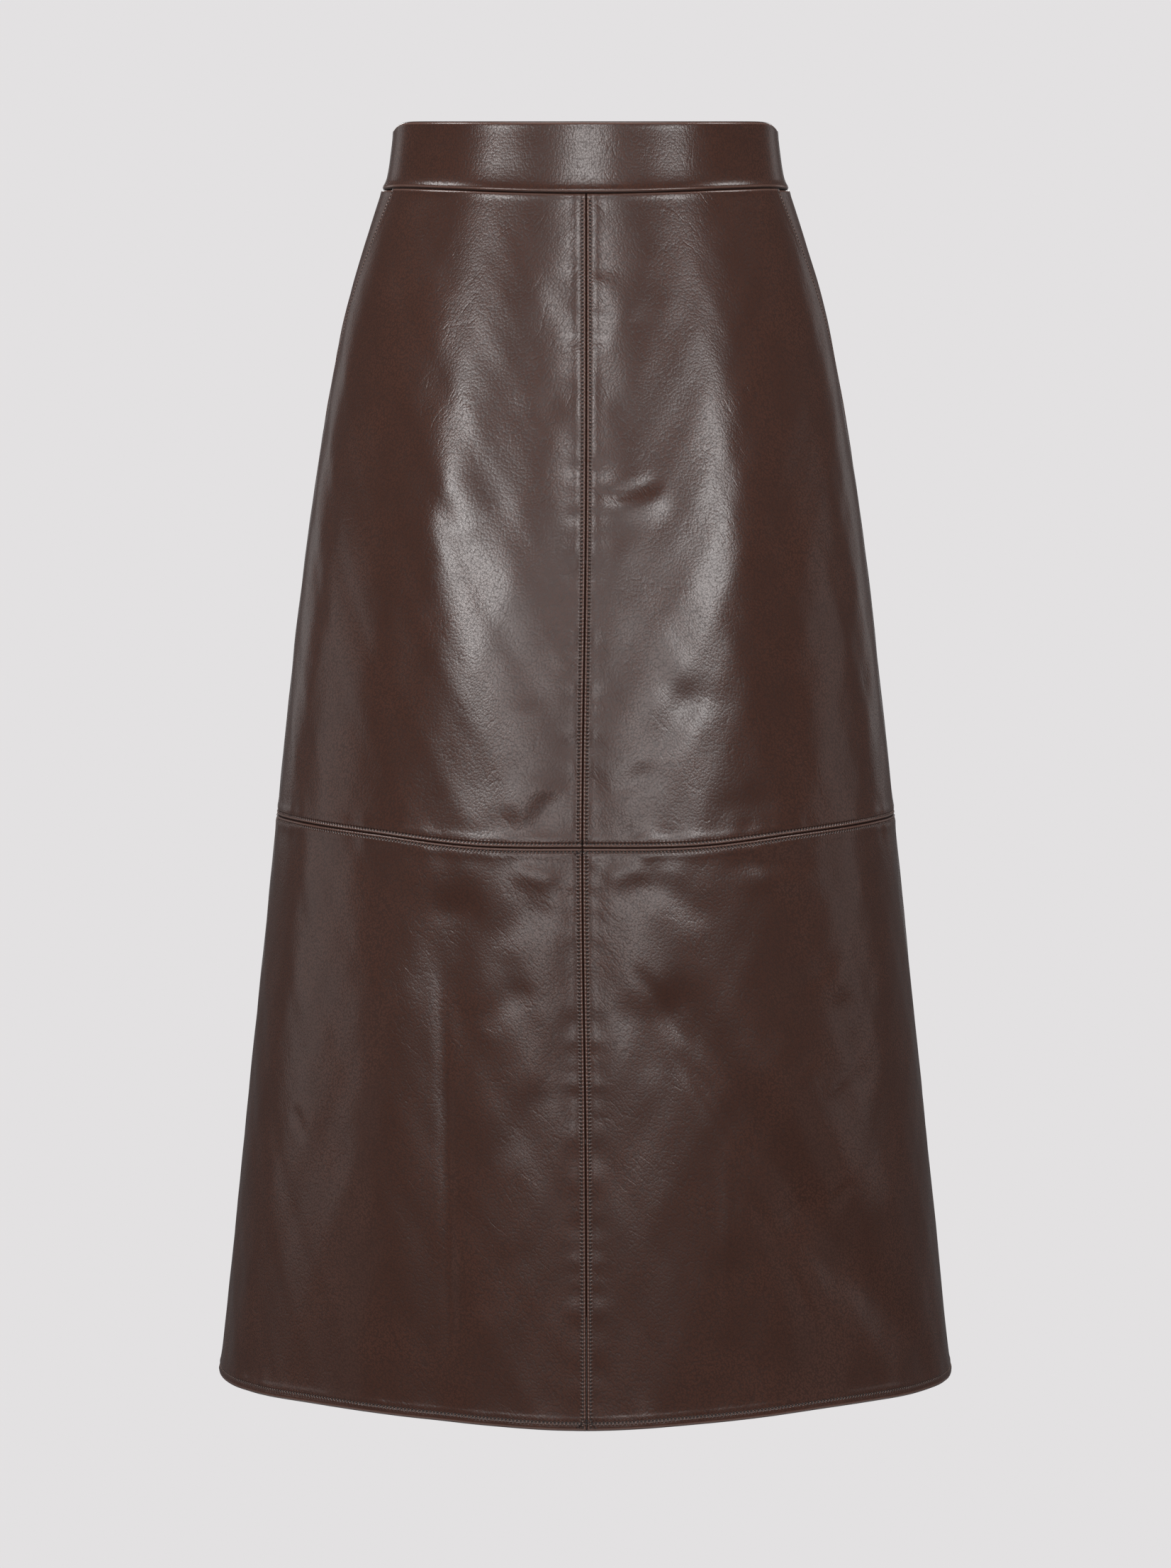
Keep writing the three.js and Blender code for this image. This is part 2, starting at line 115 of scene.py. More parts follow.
TURNED = {"front_upper": -35, "back_upper": 30, "front_lower": -40, "back_lower": 25}

# Limits and counts of the mesh work, and the finishes made so far
DEEPEST_TURN = -0.95     # no edge turns in further than this
EDGE_REACH = 12.0        # distances from an edge are kept up to this
ROW_ANGLE = 45.0         # where a level row's drop is taken to find its ends
PUCKER_WIDTH = 6.0       # half width of the pucker beside a row
NO_ROW = 20.0            # distance given where no row is near
ROW_POINTS = 900         # points on the path of a row of sewing
CUT_ROUNDS = 5           # rounds that bring a grid on to its four lines
TRIAL_ROWS = 9
TRIAL_COLUMNS = 60
MIDDLES = {"front": 0, "back": 180}
SHARP_ANGLE = math.radians(32)
FINISHES = {}


def table(columns, rows):
    """Rows of numbers as one array for each named column."""
    return dict(zip(columns.split(), np.array(rows, float).T))


SECTIONS = table("drop half front back", [
    (0, 123.3, 88, 90),
    (18, 125.2, 89.5, 92.3),
    (36, 128.0, 91, 94.8),
    (45, 131.5, 92.3, 96.6),
    (77, 141.9, 97, 104),
    (114, 152.9, 103, 113.5),
    (150, 161.0, 109, 121.5),
    (205, 170.8, 118, 131),
    (280, 182.0, 130, 140),
    (370, 192.6, 141, 149),
    (455, 201.9, 150, 156.5),
    (560, 212.9, 159.5, 165),
    (690, 226.8, 170, 174.5),
    (800, 238.5, 178.5, 182),
    (825, 242.3, 180.8, 184),
])

SEAM_LINES = table("angle waist middle hem", [
    (0, 45, 455, 822),
    (20, 44.4, 455, 819),
    (42, 43, 450.3, 816),
    (65, 42.3, 448.5, 818),
    (90, 44, 449.5, 819.5),
    (135, 44.6, 451, 820),
    (180, 45, 452, 820),
])

CENTRE_FRONT = table("drop shift", [
    (0, 0.4),
    (240, 0.3),
    (455, -2),
    (640, 0),
    (825, 0.8),
])

# The folds that the solids have: width is a half width, and a depth below nothing is a roll
FOLD_COLUMNS = "angle drop to_angle to_drop width depth bow fade"
FOLDS = table(FOLD_COLUMNS, [
    (-24, 500, -23, 840, 17, 3.2, 0, 0),
    (-38, 560, -39, 840, 24, -1.8, 0, 0),
    (16, 560, 37, 685, 17, 2.8, 0, 0),
    (38, 700, 66, 795, 18, 2.4, 0, 0),
    (34, 600, 54, 690, 24, -1.8, 0, 0),
    (-152, 520, -149, 840, 20, 3.4, 0, 0),
    (140, 560, 147, 840, 18, 2.8, 0, 0),
    (122, 600, 118, 840, 24, -2, 0, 0),
])

# Finer creases. Bow bends a crease to one side, and fade is the share of it that comes in slowly
CREASES = table(FOLD_COLUMNS, [
    # left front, upper
    (1.5, 235, 17, 222, 4.5, 0.55, -4, 0.3),
    (3, 243, 19, 231, 9, -0.45, -4, 0.3),
    (2, 95, 12, 130, 12, -0.35, 4, 0.3),
    (18, 150, 8, 330, 20, 0.8, 8, 0.3),
    (34, 120, 26, 400, 26, -0.9, 6, 0.25),
    (5, 300, 24, 380, 11, 0.45, -5, 0.3),
    (10, 402, 26, 350, 13, 0.55, 5, 0.3),
    (4, 425, 14, 405, 8, 0.4, 2, 0.3),
    (46, 200, 40, 430, 20, 0.7, -6, 0.3),
    (22, 436, 48, 425, 9, 0.35, 3, 0.3),
    # right front, upper
    (-10, 451, -4, 420, 8, 0.6, 3, 0.3),
    (-14, 440, -7, 408, 10, -0.5, 3, 0.3),
    (-12, 110, -24, 380, 20, 0.8, -8, 0.3),
    (-31, 150, -19, 420, 24, -0.9, -6, 0.25),
    (-5, 330, -14, 370, 9, 0.45, 4, 0.3),
    (-22, 262, -32, 236, 12, 0.4, 3, 0.3),
    (-38, 220, -33, 400, 16, 0.55, -4, 0.3),
    (-3, 160, -11, 190, 10, 0.35, 2, 0.3),
    # left front, lower
    (3, 478, 11, 466, 9, -0.7, 2, 0.3),
    (10, 472, 22, 510, 10, 0.6, 4, 0.3),
    (8, 526, 17, 584, 4.5, 0.6, 2, 0.3),
    (16, 580, 32, 668, 5.5, 0.7, -3, 0.25),
    (23.4, 640, 22, 775, 3.5, -0.35, 1, 0.3),
    (25.5, 664, 40, 780, 6.5, 0.75, 3, 0.25),
    (37, 612, 44, 590, 5, 0.35, 2, 0.3),
    (44, 620, 51, 606, 4, -0.3, 2, 0.3),
    (24, 468, 50, 471, 6, 0.5, 1, 0.3),
    (30, 476, 46, 482, 8, -0.45, 1, 0.3),
    (39, 555, 52, 530, 7, 0.5, 4, 0.3),
    (42, 575, 56, 560, 9, 0.4, 3, 0.3),
    (43.5, 691, 49.5, 675, 4, 0.6, 2, 0.3),
    (47, 640, 56, 600, 8, 0.35, 3, 0.3),
    (5, 545, 12, 610, 11, 0.5, 4, 0.3),
    (22, 700, 28, 810, 15, 0.8, 3, 0.25),
    (12, 640, 15, 830, 18, -0.7, 2, 0.25),
    # right front, lower
    (-4, 474, -14, 468, 8, -0.7, 2, 0.3),
    (-5, 490, -17, 520, 11, 0.6, -4, 0.3),
    (-8, 540, -19, 575, 10, 0.5, -4, 0.3),
    (-5, 600, -14, 660, 12, 0.5, -4, 0.3),
    (-59, 629, -54, 652, 5, 0.45, 2, 0.3),
    (-50, 520, -46, 700, 20, 0.7, 5, 0.25),
    (-10, 700, -17, 760, 11, 0.45, -3, 0.3),
    (-27, 505, -21, 812, 4, 0.75, 2, 0.3),
    (-62, 700, -66, 830, 16, 0.7, 3, 0.3),
    # left back
    (176, 235, 160, 250, 7, 0.6, 4, 0.3),
    (174, 300, 158, 352, 11, 0.5, -5, 0.3),
    (165, 130, 156, 380, 24, 0.8, 6, 0.25),
    (148, 180, 152, 420, 24, -0.8, -5, 0.25),
    (128, 240, 134, 430, 20, 0.6, 5, 0.3),
    (175, 440, 162, 415, 8, 0.7, 3, 0.3),
    (174, 480, 158, 520, 11, 0.6, -4, 0.3),
    (160, 560, 168, 640, 11, 0.5, 4, 0.3),
    (122, 500, 132, 540, 10, 0.4, 4, 0.3),
    # right back
    (-177, 270, -163, 262, 6, 0.6, -4, 0.3),
    (-172, 340, -157, 392, 12, 0.5, 5, 0.3),
    (-163, 140, -157, 410, 22, 0.7, -6, 0.25),
    (-145, 200, -149, 430, 24, -0.8, 5, 0.25),
    (-124, 260, -131, 440, 20, 0.6, -5, 0.3),
    (-175, 436, -166, 420, 8, 0.6, -3, 0.3),
    (-175, 482, -165, 560, 12, 0.6, 4, 0.3),
    (-128, 520, -138, 570, 11, 0.4, -4, 0.3),
    (-170, 620, -164, 760, 16, 0.7, -4, 0.25),
])

# Slow unevenness of hanging leather: waves in millimetres along the cloth, with a phase each
RIPPLES = table("across down height phase", [
    (61, 148, 0.16, 0.4),
    (-47, 96, 0.11, 2.1),
    (33, -71, 0.07, 4.0),
    (24, 52, 0.045, 1.3),
    (-19, 37, 0.03, 5.2),
])


def smoothstep(low, high, value):
    share = np.clip((value - low) / (high - low), 0, 1)
    return share * share * (3 - 2 * share)


def hump(place, centre, width):
    return np.exp(-(((place - centre) / width) ** 2))


def along(rows, key, column, at, level_ends=False):
    """One column of a table at places along it, on a smooth curve through the rows."""
    keys, values = rows[key], rows[column]
    slopes = np.empty_like(values)
    slopes[1:-1] = (values[2:] - values[:-2]) / (keys[2:] - keys[:-2])
    slopes[0] = 0 if level_ends else (values[1] - values[0]) / (keys[1] - keys[0])
    slopes[-1] = 0 if level_ends else (values[-1] - values[-2]) / (keys[-1] - keys[-2])
    at = np.asarray(at, float)
    row = np.clip(np.searchsorted(keys, at, side="right") - 1, 0, len(keys) - 2)
    span = keys[row + 1] - keys[row]
    t = np.clip((at - keys[row]) / span, 0, 1)
    ends = (2 * t**3 - 3 * t**2 + 1) * values[row] + (3 * t**2 - 2 * t**3) * values[row + 1]
    turns = (t**3 - 2 * t**2 + t) * slopes[row] + (t**3 - t**2) * slopes[row + 1]
    return ends + span * turns


def half_width(drop):
    return along(SECTIONS, "drop", "half", drop)


def depth(angle, drop):
    front = along(SECTIONS, "drop", "front", drop)
    back = along(SECTIONS, "drop", "back", drop)
    return np.where(np.abs(angle) <= 90, front, back)


def surface(angle, drop):
    """The outer face before any fold, as an array of points."""
    turn = np.radians(angle)
    x = half_width(drop) * np.sin(turn)
    y = -depth(angle, drop) * np.cos(turn)
    return np.stack([x, y, ORIGIN_DROP - drop + 0 * x], axis=-1)


def outward(angle, drop, step=0.5):
    across = surface(angle + step, drop) - surface(angle - step, drop)
    down = surface(angle, drop + step) - surface(angle, drop - step)
    normal = np.cross(down, across)
    return normal / np.linalg.norm(normal, axis=-1, keepdims=True)


def cloth_per_degree(angle, drop):
    turn = np.radians(angle)
    return np.radians(np.hypot(half_width(drop) * np.cos(turn), depth(angle, drop) * np.sin(turn)))


def shifted(angle, drop, distance):
    return angle + distance / cloth_per_degree(angle, drop)


def fold_lift(folds, angle, drop):
    """How far the folds of a table lift the cloth, less than nothing in a trough."""
    lift = 0 * angle
    per_degree = np.radians((half_width(drop) + depth(angle, drop)) / 2)
    for row in zip(*folds.values()):
        from_angle, from_drop, to_angle, to_drop, width, trough, bow, fade = row
        run = np.stack([(to_angle - from_angle) * per_degree, to_drop - from_drop + 0 * drop])
        place = np.stack([(angle - from_angle) * per_degree, drop - from_drop])
        length = np.hypot(*run)
        share = (place * run).sum(0) / length**2
        inside = np.clip(share, 0, 1)
        side = (place[0] * run[1] - place[1] * run[0]) / length
        side = side - bow * 4 * inside * (1 - inside)
        distance = np.hypot(side, (share - inside) * length)
        ends = 1.0
        if fade:
            ends = smoothstep(0, fade, inside) * smoothstep(0, fade, 1 - inside)
        shape = hump(distance, 0, width)
        lip = LIP_SHARE * hump(distance, 0, LIP_REACH * width) if fade else 0
        lift = lift - trough * ends * (shape - lip)
    return lift


def ripple_lift(angle, drop):
    across = angle * np.radians((half_width(drop) + depth(angle, drop)) / 2)
    lift = 0 * angle
    for wave, fall, height, phase in zip(*RIPPLES.values()):
        turn = 2 * math.pi * (across / wave + drop / fall) + phase
        lift = lift + height * np.sin(turn + 0.8 * np.sin(drop / 55 + phase))
    return lift


def cloth_lift(angle, drop):
    """Everything that moves the cloth off its plain cut surface, less on the band and over the zip."""
    loose = smoothstep(BAND_HEIGHT, BAND_HEIGHT + LOOSENING, drop)
    free_of_zip = smoothstep(0, ZIP_HOLD, 180 - np.abs(angle))
    fine = CREASE_DEPTH * fold_lift(CREASES, angle, drop) + ripple_lift(angle, drop) * free_of_zip
    return fold_lift(FOLDS, angle, drop) + fine * (BAND_SHARE + (1 - BAND_SHARE) * loose)


def top_edge(angle):
    return SIDE_DIP * hump(np.abs(angle), 90, SIDE_DIP_SPREAD)


def seam_line(name):
    return lambda angle: along(SEAM_LINES, "angle", name, np.abs(angle), level_ends=True)


waist_seam = seam_line("waist")
middle_seam = seam_line("middle")
hem_edge = seam_line("hem")


def centre_front(drop):
    shift = along(CENTRE_FRONT, "drop", "shift", drop)
    return np.degrees(np.arcsin(shift / half_width(drop)))


def straight(angle):
    return lambda drop: angle + 0 * drop


def pocket_width(drop):
    share = (POCKET_END_DROP - drop) / (POCKET_END_DROP - BAND_HEIGHT)
    return POCKET_SETBACK * np.clip(share, 0, 1)


def pocket_edge(side, inset):
    """The pocket's edge above its end and the side seam below it, moved by inset to the front."""
    return lambda drop: shifted(side * 90 + 0 * drop, drop, -side * (pocket_width(drop) + inset))


def edge_of(line, distance):
    """An upright line moved by a distance towards the wearer's left."""
    return lambda drop: shifted(line(drop), drop, distance)


def upright(angle, distance):
    return edge_of(straight(angle), distance)


def raised(line, distance):
    """A level line moved down by a distance."""
    return lambda angle: line(angle) + distance


def value_at(line, place):
    """One value of a line, as a plain number."""
    return float(line(np.float64(place)))


def wander(place):
    """An uneven wave along a seam, between about -1 and 1."""
    slow = np.sin(place / 5.3 + 1.7 * np.sin(place / 31))
    return 0.55 * slow + 0.45 * np.sin(place / 2.9 + 2.3 * np.sin(place / 19))


# How each kind of edge lifts the leather's face, by the distance from it and the place along it
def edge_finish(*humps, pucker=None):
    """Humps beside an edge, each a height, a distance from it and a half width, and an uneven pucker."""

    def lift(distance, place):
        total = 0 * distance
        for height, middle, width in humps:
            total = total + height * hump(distance, middle, width)
        if pucker:
            height, middle = pucker
            total = total + height * hump(distance, middle, PUCKER_WIDTH) * wander(place)
        return total

    return lift


def changing(upper, lower, top, bottom):
    """One finish that turns into another between two places along an edge."""

    def lift(distance, place):
        share = smoothstep(top, bottom, place)
        return upper(distance, place) * (1 - share) + lower(distance, place) * share

    return lift


FLAT_EDGE = edge_finish()
PLAIN_SEAM = edge_finish((-0.95, 0, 0.55), (0.24, 2.0, 1.5))
ROLLED_TOP = edge_finish((-BAND_ROLL, 0, 0.7), (0.12, 2.2, 1.4))


def sewn_seam(inset):
    """A seam with a row of topstitching beside it: a ridge, the stitched dip, then a soft puff."""
    ridge = (0.34, 0.49 * inset, 0.26 * inset)
    row = (-0.08, inset, 0.45), (0.3, inset + 2.6, 2.2)
    return edge_finish((-0.9, 0, 0.3), ridge, *row, pucker=(0.26, inset + 4))


def turned_hem(inset):
    edge = (-HEM_ROLL, 0, 0.65), (0.22, 2.3, 1.4)
    row = (-0.1, inset, 0.45), (0.24, inset + 2.2, 1.6)
    return edge_finish(*edge, *row, pucker=(0.16, inset + 4))


def pocket_mouth(inset):
    """The folded edge of a pocket down to its end, and the plain side seam below."""
    fold = (-0.8, 0, 0.4), (0.26, 1.0, 0.6)
    row = (-0.1, inset, 0.45), (0.2, inset + 2.2, 1.8)
    return changing(edge_finish(*fold, *row), PLAIN_SEAM, POCKET_END_DROP - 8, POCKET_END_DROP + 4)


def over_zip(inset):
    """The centre back: plain over the zip, topstitched below it."""
    return changing(PLAIN_SEAM, sewn_seam(inset), ZIP_END_DROP, ZIP_END_DROP + 8)


# Distances of the closest mesh lines from an edge
SEAM_STEPS = np.array([0, 0.15, 0.35, 0.6, 0.95, 1.4, 1.85, 2.2, 2.45, 2.7, 3.1, 3.9, 5.2, 7.2])
HEM_STEPS = np.array([0, 0.15, 0.35, 0.65, 1.1, 1.9, 3, 4, 4.5, 5, 5.5, 6.3, 7.6, 8.8, 9.4, 10, 12])
PLAIN_STEPS = np.array([0, 0.15, 0.4, 0.8, 1.4, 2.2, 3.4, 5.2])
TOP_STEPS = np.array([0, 0.12, 0.3, 0.55, 0.9, 1.4, 2.2, 3.4])
FEW_STEPS = PLAIN_STEPS[::3]


class Cut:
    """A piece of leather or tape: its four edges as lines, their finishes and mesh steps.

    The lines give an angle for a drop at the start and end, and a drop for an angle at the top and
    bottom. Base is the lift of its whole face, back the height of its inner face over its outer one,
    and turned the lean of the leather's grain in degrees.
    """

    def __init__(self, name, lines, finishes, steps, pitch, hangs_from):
        self.name = name
        self.start, self.end, self.top, self.bottom = lines
        self.finishes = finishes
        self.steps = steps
        self.pitch = pitch
        self.hangs_from = hangs_from
        self.rows = []
        self.turned = 0.0
        self.title = f"{name}_leather"
        self.slot = "leather"
        self.base = lambda angle, drop: 0 * angle
        self.back = lambda grid: 0 * grid.drop - LEATHER


class SewnRow:
    """A row of topstitching: the edge that it follows, its distance from it, and its path."""

    def __init__(self, edge, inset, path, pitch):
        self.edge = edge
        self.inset = inset
        self.angle, self.drop = path
        lift = cloth_lift(self.angle, self.drop)
        self.points = surface(*path) + outward(*path) * lift[:, None]
        self.run = arc_lengths(self.points)
        self.pitch = pitch
        self.count = int(self.run[-1] / pitch)
        self.first_hole = (self.run[-1] - self.count * pitch) / 2

    def middles(self):
        """The middle of each stitch along the row, between its two holes."""
        return self.first_hole + (np.arange(self.count) + 0.5) * self.pitch

    def beside(self, grid):
        """How far each point of a grid is from the row, less than nothing towards the edge."""
        runs_down = self.edge in ("start", "end")
        key, at = (self.drop, grid.drop) if runs_down else (self.angle, grid.angle)
        counted = (np.interp(at, key, self.run) - self.first_hole) / self.pitch
        gap = getattr(grid, f"from_{self.edge}") - self.inset
        past_end = (at < key[0]) | (at > key[-1])
        return np.where(past_end, NO_ROW, gap), counted


def beside_rows(cut, grid):
    """Distance from the nearest stitch row, and the stitches counted along it: a hole at each whole."""
    nearest, counted = 0 * grid.drop + NO_ROW, 0 * grid.drop
    for row in cut.rows:
        gap, count = row.beside(grid)
        nearer = np.abs(gap) < np.abs(nearest)
        nearest = np.where(nearer, gap, nearest)
        counted = np.where(nearer, count, counted)
    return nearest, counted


def arc_lengths(points):
    """Running length along each line of points."""
    parts = np.linalg.norm(np.diff(points, axis=-2), axis=-1)
    start = np.zeros(parts.shape[:-1] + (1,))
    return np.concatenate([start, np.cumsum(parts, axis=-1)], axis=-1)


def spread(span, pitch, near_start, near_end):
    """Places across a span: how far in from the start, how far in from the end, and the share."""
    count = max(3, round((span - near_start[-1] - near_end[-1]) / pitch))
    middle = np.linspace(0, 1, count + 1)[1:-1]
    whole = np.ones(len(middle))
    from_start = np.concatenate([near_start, whole * near_start[-1], 0 * near_end + near_start[-1]])
    from_end = np.concatenate([0 * near_start + near_end[-1], whole * near_end[-1], near_end[::-1]])
    share = np.concatenate([0 * near_start, middle, 0 * near_end + 1])
    return from_start, from_end, share


class Grid:
    """The angle and drop of each point of a cut piece, with its distance from each edge."""

    def __init__(self, cut):
        highest, lowest = value_at(cut.top, 0), value_at(cut.bottom, 0)
        drop = np.linspace(highest, lowest, TRIAL_ROWS)
        share = np.linspace(0, 1, TRIAL_COLUMNS)[:, None]
        angle = cut.start(drop) * (1 - share) + cut.end(drop) * share
        across = np.swapaxes(surface(angle, drop + 0 * angle), 0, 1)
        span = arc_lengths(across)[:, -1].max()
        columns = spread(span, cut.pitch, cut.steps[0], cut.steps[1])
        rows = spread(drop[-1] - drop[0], cut.pitch, cut.steps[2], cut.steps[3])
        in_start, in_end, across_share = (values[None, :] for values in columns)
        in_top, in_bottom, down_share = (values[:, None] for values in rows)
        angle = np.zeros((len(rows[0]), len(columns[0]))) + cut.start(drop[TRIAL_ROWS // 2])
        for _ in range(CUT_ROUNDS):
            upper = cut.top(angle) + in_top
            lower = cut.bottom(angle) - in_bottom
            drop = upper * (1 - down_share) + lower * down_share
            first = shifted(cut.start(drop), drop, in_start)
            last = shifted(cut.end(drop), drop, -in_end)
            angle = first * (1 - across_share) + last * across_share
        self.angle = angle
        self.drop = drop
        per_degree = cloth_per_degree(angle, drop)
        self.from_start = (angle - cut.start(drop)) * per_degree
        self.from_end = (cut.end(drop) - angle) * per_degree
        self.from_top = drop - cut.top(angle)
        self.from_bottom = cut.bottom(angle) - drop
        self.across = angle * math.radians(1) * (half_width(drop) + depth(angle, drop)) / 2


def wall_faces(high, wide):
    """Quads of a closed wall: its outer grid, its inner grid turned over, and the rims."""
    index = np.arange(high * wide).reshape(high, wide)
    outer = np.stack([index[:-1, :-1], index[1:, :-1], index[1:, 1:], index[:-1, 1:]], axis=-1)
    outer = outer.reshape(-1, 4)
    inner = outer[:, ::-1] + high * wide
    border = np.concatenate([index[0, ::-1], index[1:, 0], index[-1, 1:], index[-2:0:-1, -1]])
    after = np.roll(border, -1)
    rim = np.stack([after, border, border + high * wide, after + high * wide], axis=-1)
    return np.concatenate([outer, inner, rim])


def mesh_object(name, points, faces, material, attributes=None):
    """A smooth mesh object from points in millimetres, with a number at each point for each name."""
    mesh = bpy.data.meshes.new(name)
    mesh.from_pydata((np.asarray(points) * MM).tolist(), [], [list(face) for face in faces])
    mesh.shade_smooth()
    for key, values in (attributes or {}).items():
        layer = mesh.attributes.new(key, "FLOAT", "POINT")
        layer.data.foreach_set("value", np.asarray(values, np.float32).ravel())
    mesh.materials.append(material)
    made = bpy.data.objects.new(name, mesh)
    bpy.context.scene.collection.objects.link(made)
    return made


def face_lift(cut, grid):
    """What a piece's edges add to the lift of its face."""
    start, end, top, bottom = cut.finishes
    edges = start(grid.from_start, grid.drop) + end(grid.from_end, grid.drop)
    edges = edges + top(grid.from_top, grid.across) + bottom(grid.from_bottom, grid.across)
    return np.maximum(edges, DEEPEST_TURN)


def quad_area(points):
    """Area of a grid of points."""
    one = points[1:, 1:] - points[:-1, :-1]
    other = points[1:, :-1] - points[:-1, 1:]
    return np.linalg.norm(np.cross(one, other), axis=-1).sum() / 2


def cloth_piece(cut, material, lot):
    """One piece of leather or tape as a closed thin wall, with its flat size noted on it."""
    grid = Grid(cut)
    cloth = surface(grid.angle, grid.drop)
    facing = outward(grid.angle, grid.drop)
    lift = cloth_lift(grid.angle, grid.drop) + cut.base(grid.angle, grid.drop)
    outer = lift + face_lift(cut, grid)
    inner = lift + cut.back(grid)
    points = np.stack([cloth + facing * outer[..., None], cloth + facing * inner[..., None]])
    nearest = np.minimum.reduce([grid.from_start, grid.from_end, grid.from_top, grid.from_bottom])
    nearest = np.clip(nearest, 0, EDGE_REACH)
    inside = np.stack([0 * nearest, 0 * nearest + 1])
    row_gap, stitch_count = beside_rows(cut, grid)
    attributes = {
        "from_edge": np.stack([nearest, nearest]),
        "row_gap": np.stack([row_gap, row_gap]),
        "stitch_count": np.stack([stitch_count, stitch_count]),
        "inside": inside,
        "lot": inside * 0 + lot,
        "turned": inside * 0 + math.radians(cut.turned),
    }
    faces = wall_faces(*grid.drop.shape)
    made = mesh_object(cut.title, points.reshape(-1, 3), faces, material, attributes)
    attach(made, "root")
    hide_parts(cut.name)
    width = arc_lengths(cloth)[:, -1].max()
    length = arc_lengths(np.swapaxes(cloth, 0, 1))[:, -1].max()
    made["flat_size"] = (width * MM, length * MM)
    made["flat_area"] = quad_area(cloth) * MM**2
    return made


# The stitch lies between two holes: for each ring its place along, its radius and its height
STITCH_RINGS = table("along radius height", [
    (-0.5, 0.5, -0.4),
    (-0.3, 0.95, -0.02),
    (0, 1, 0.1),
    (0.3, 0.95, -0.02),
    (0.5, 0.5, -0.4),
])
STITCH_SIDES = 6
ROW_SINK = -0.22


def stitch_shape(length, radius):
    """Points, faces and depth shares of a stitch that lies along X, with Z out of the cloth."""
    turn = np.arange(STITCH_SIDES) * 2 * math.pi / STITCH_SIDES
    points, sunk, faces = [], [], []
    for place, size, height in zip(*STITCH_RINGS.values()):
        up = radius * size * np.sin(turn) + height
        points.append(np.stack([0 * turn + place * length, radius * size * np.cos(turn), up], axis=-1))
        sunk.append(0 * turn + (2 * abs(place)) ** 3)
    for ring in range(len(points) - 1):
        low, high = ring * STITCH_SIDES, (ring + 1) * STITCH_SIDES
        for side in range(STITCH_SIDES):
            beside = (side + 1) % STITCH_SIDES
            faces.append([low + side, low + beside, high + beside, high + side])
    faces.append(list(range(STITCH_SIDES))[::-1])
    faces.append([high + side for side in range(STITCH_SIDES)])
    return np.concatenate(points), faces, np.concatenate(sunk)


def row_down(cut, edge, inset, first, last, sizes):
    """A row of sewing beside an upright edge of a piece, between two drops."""
    drop = np.linspace(first, last, ROW_POINTS)
    inward = 1 if edge == "start" else -1
    path = shifted(getattr(cut, edge)(drop), drop, inward * inset), drop
    return SewnRow(edge, inset, path, sizes.pitch / MM)


def row_round(cut, edge, inset, sizes):
    """A row of sewing along the top or the bottom edge of a piece."""
    level = getattr(cut, edge)
    down = inset if edge == "top" else -inset
    drop = value_at(level, ROW_ANGLE) + down
    angle = np.linspace(value_at(cut.start, drop), value_at(cut.end, drop), ROW_POINTS)
    return SewnRow(edge, inset, (angle, level(angle) + down), sizes.pitch / MM)


def beads(row, middles, made_shape, height, slant, face=1):
    """Copies of a small shape along a row, turned by a slant each, at a height over the cloth."""

    def place(length):
        return np.stack([np.interp(length, row.run, row.points[:, axis]) for axis in range(3)], axis=-1)

    ahead = place(middles + 0.5) - place(middles - 0.5)
    ahead /= np.linalg.norm(ahead, axis=-1, keepdims=True)
    facing = outward(np.interp(middles, row.run, row.angle), np.interp(middles, row.run, row.drop))
    facing -= ahead * (facing * ahead).sum(-1, keepdims=True)
    facing /= np.linalg.norm(facing, axis=-1, keepdims=True)
    middle = place(middles) + facing * height
    facing = facing * face
    beside = np.cross(facing, ahead)
    turn = np.radians(slant)[:, None]
    along_shape = ahead * np.cos(turn) + beside * np.sin(turn)
    across_shape = beside * np.cos(turn) - ahead * np.sin(turn)
    shape, faces, sunk = made_shape
    points = middle[:, None] + shape[None, :, :1] * along_shape[:, None]
    points = points + shape[None, :, 1:2] * across_shape[:, None] + shape[None, :, 2:] * facing[:, None]
    offsets = np.arange(len(middles)) * len(shape)
    all_faces = [[corner + offset for corner in corners] for offset in offsets for corners in faces]
    return points.reshape(-1, 3), all_faces, np.tile(sunk, len(middles))


def stitch_row(row, sizes, rng):
    """Stitches along a row, as points, faces and how deep they are sunk."""
    middles = row.middles() + rng.normal(0, STITCH_WANDER, row.count)
    shape = stitch_shape(sizes.length / MM, sizes.radius / MM)
    return beads(row, middles, shape, ROW_SINK, rng.normal(STITCH_SLANT, SLANT_SPREAD, row.count))


def joined(parts):
    """Several lots of points, faces and values as one."""
    points, faces, values = [], [], []
    total = 0
    for part_points, part_faces, part_values in parts:
        points.append(part_points)
        faces.extend([corner + total for corner in face] for face in part_faces)
        values.append(part_values)
        total += len(part_points)
    return np.concatenate(points), faces, np.concatenate(values)


SIDES = (("left", 1), ("right", -1))


def in_order(start, end, side):
    """Lines from the wearer's right to left, and so turned round on the right side."""
    return (start, end) if side > 0 else (end, start)


def notched(side):
    """The centre back edge of the band, with a notch for the zip slider's neck."""

    def line(drop):
        in_notch = np.abs(drop - SLIDER_DROP) < NOTCH_HALF_HEIGHT
        return shifted(side * 180 + 0 * drop, drop, -side * np.where(in_notch, NOTCH_SETBACK, SEAM_REST))

    return line


def band_back(grid):
    """The band's inner face, drawn out at the rolled top edge."""
    return BAND_ROLL * hump(grid.from_top, 0, 0.7) - BAND_THICKNESS


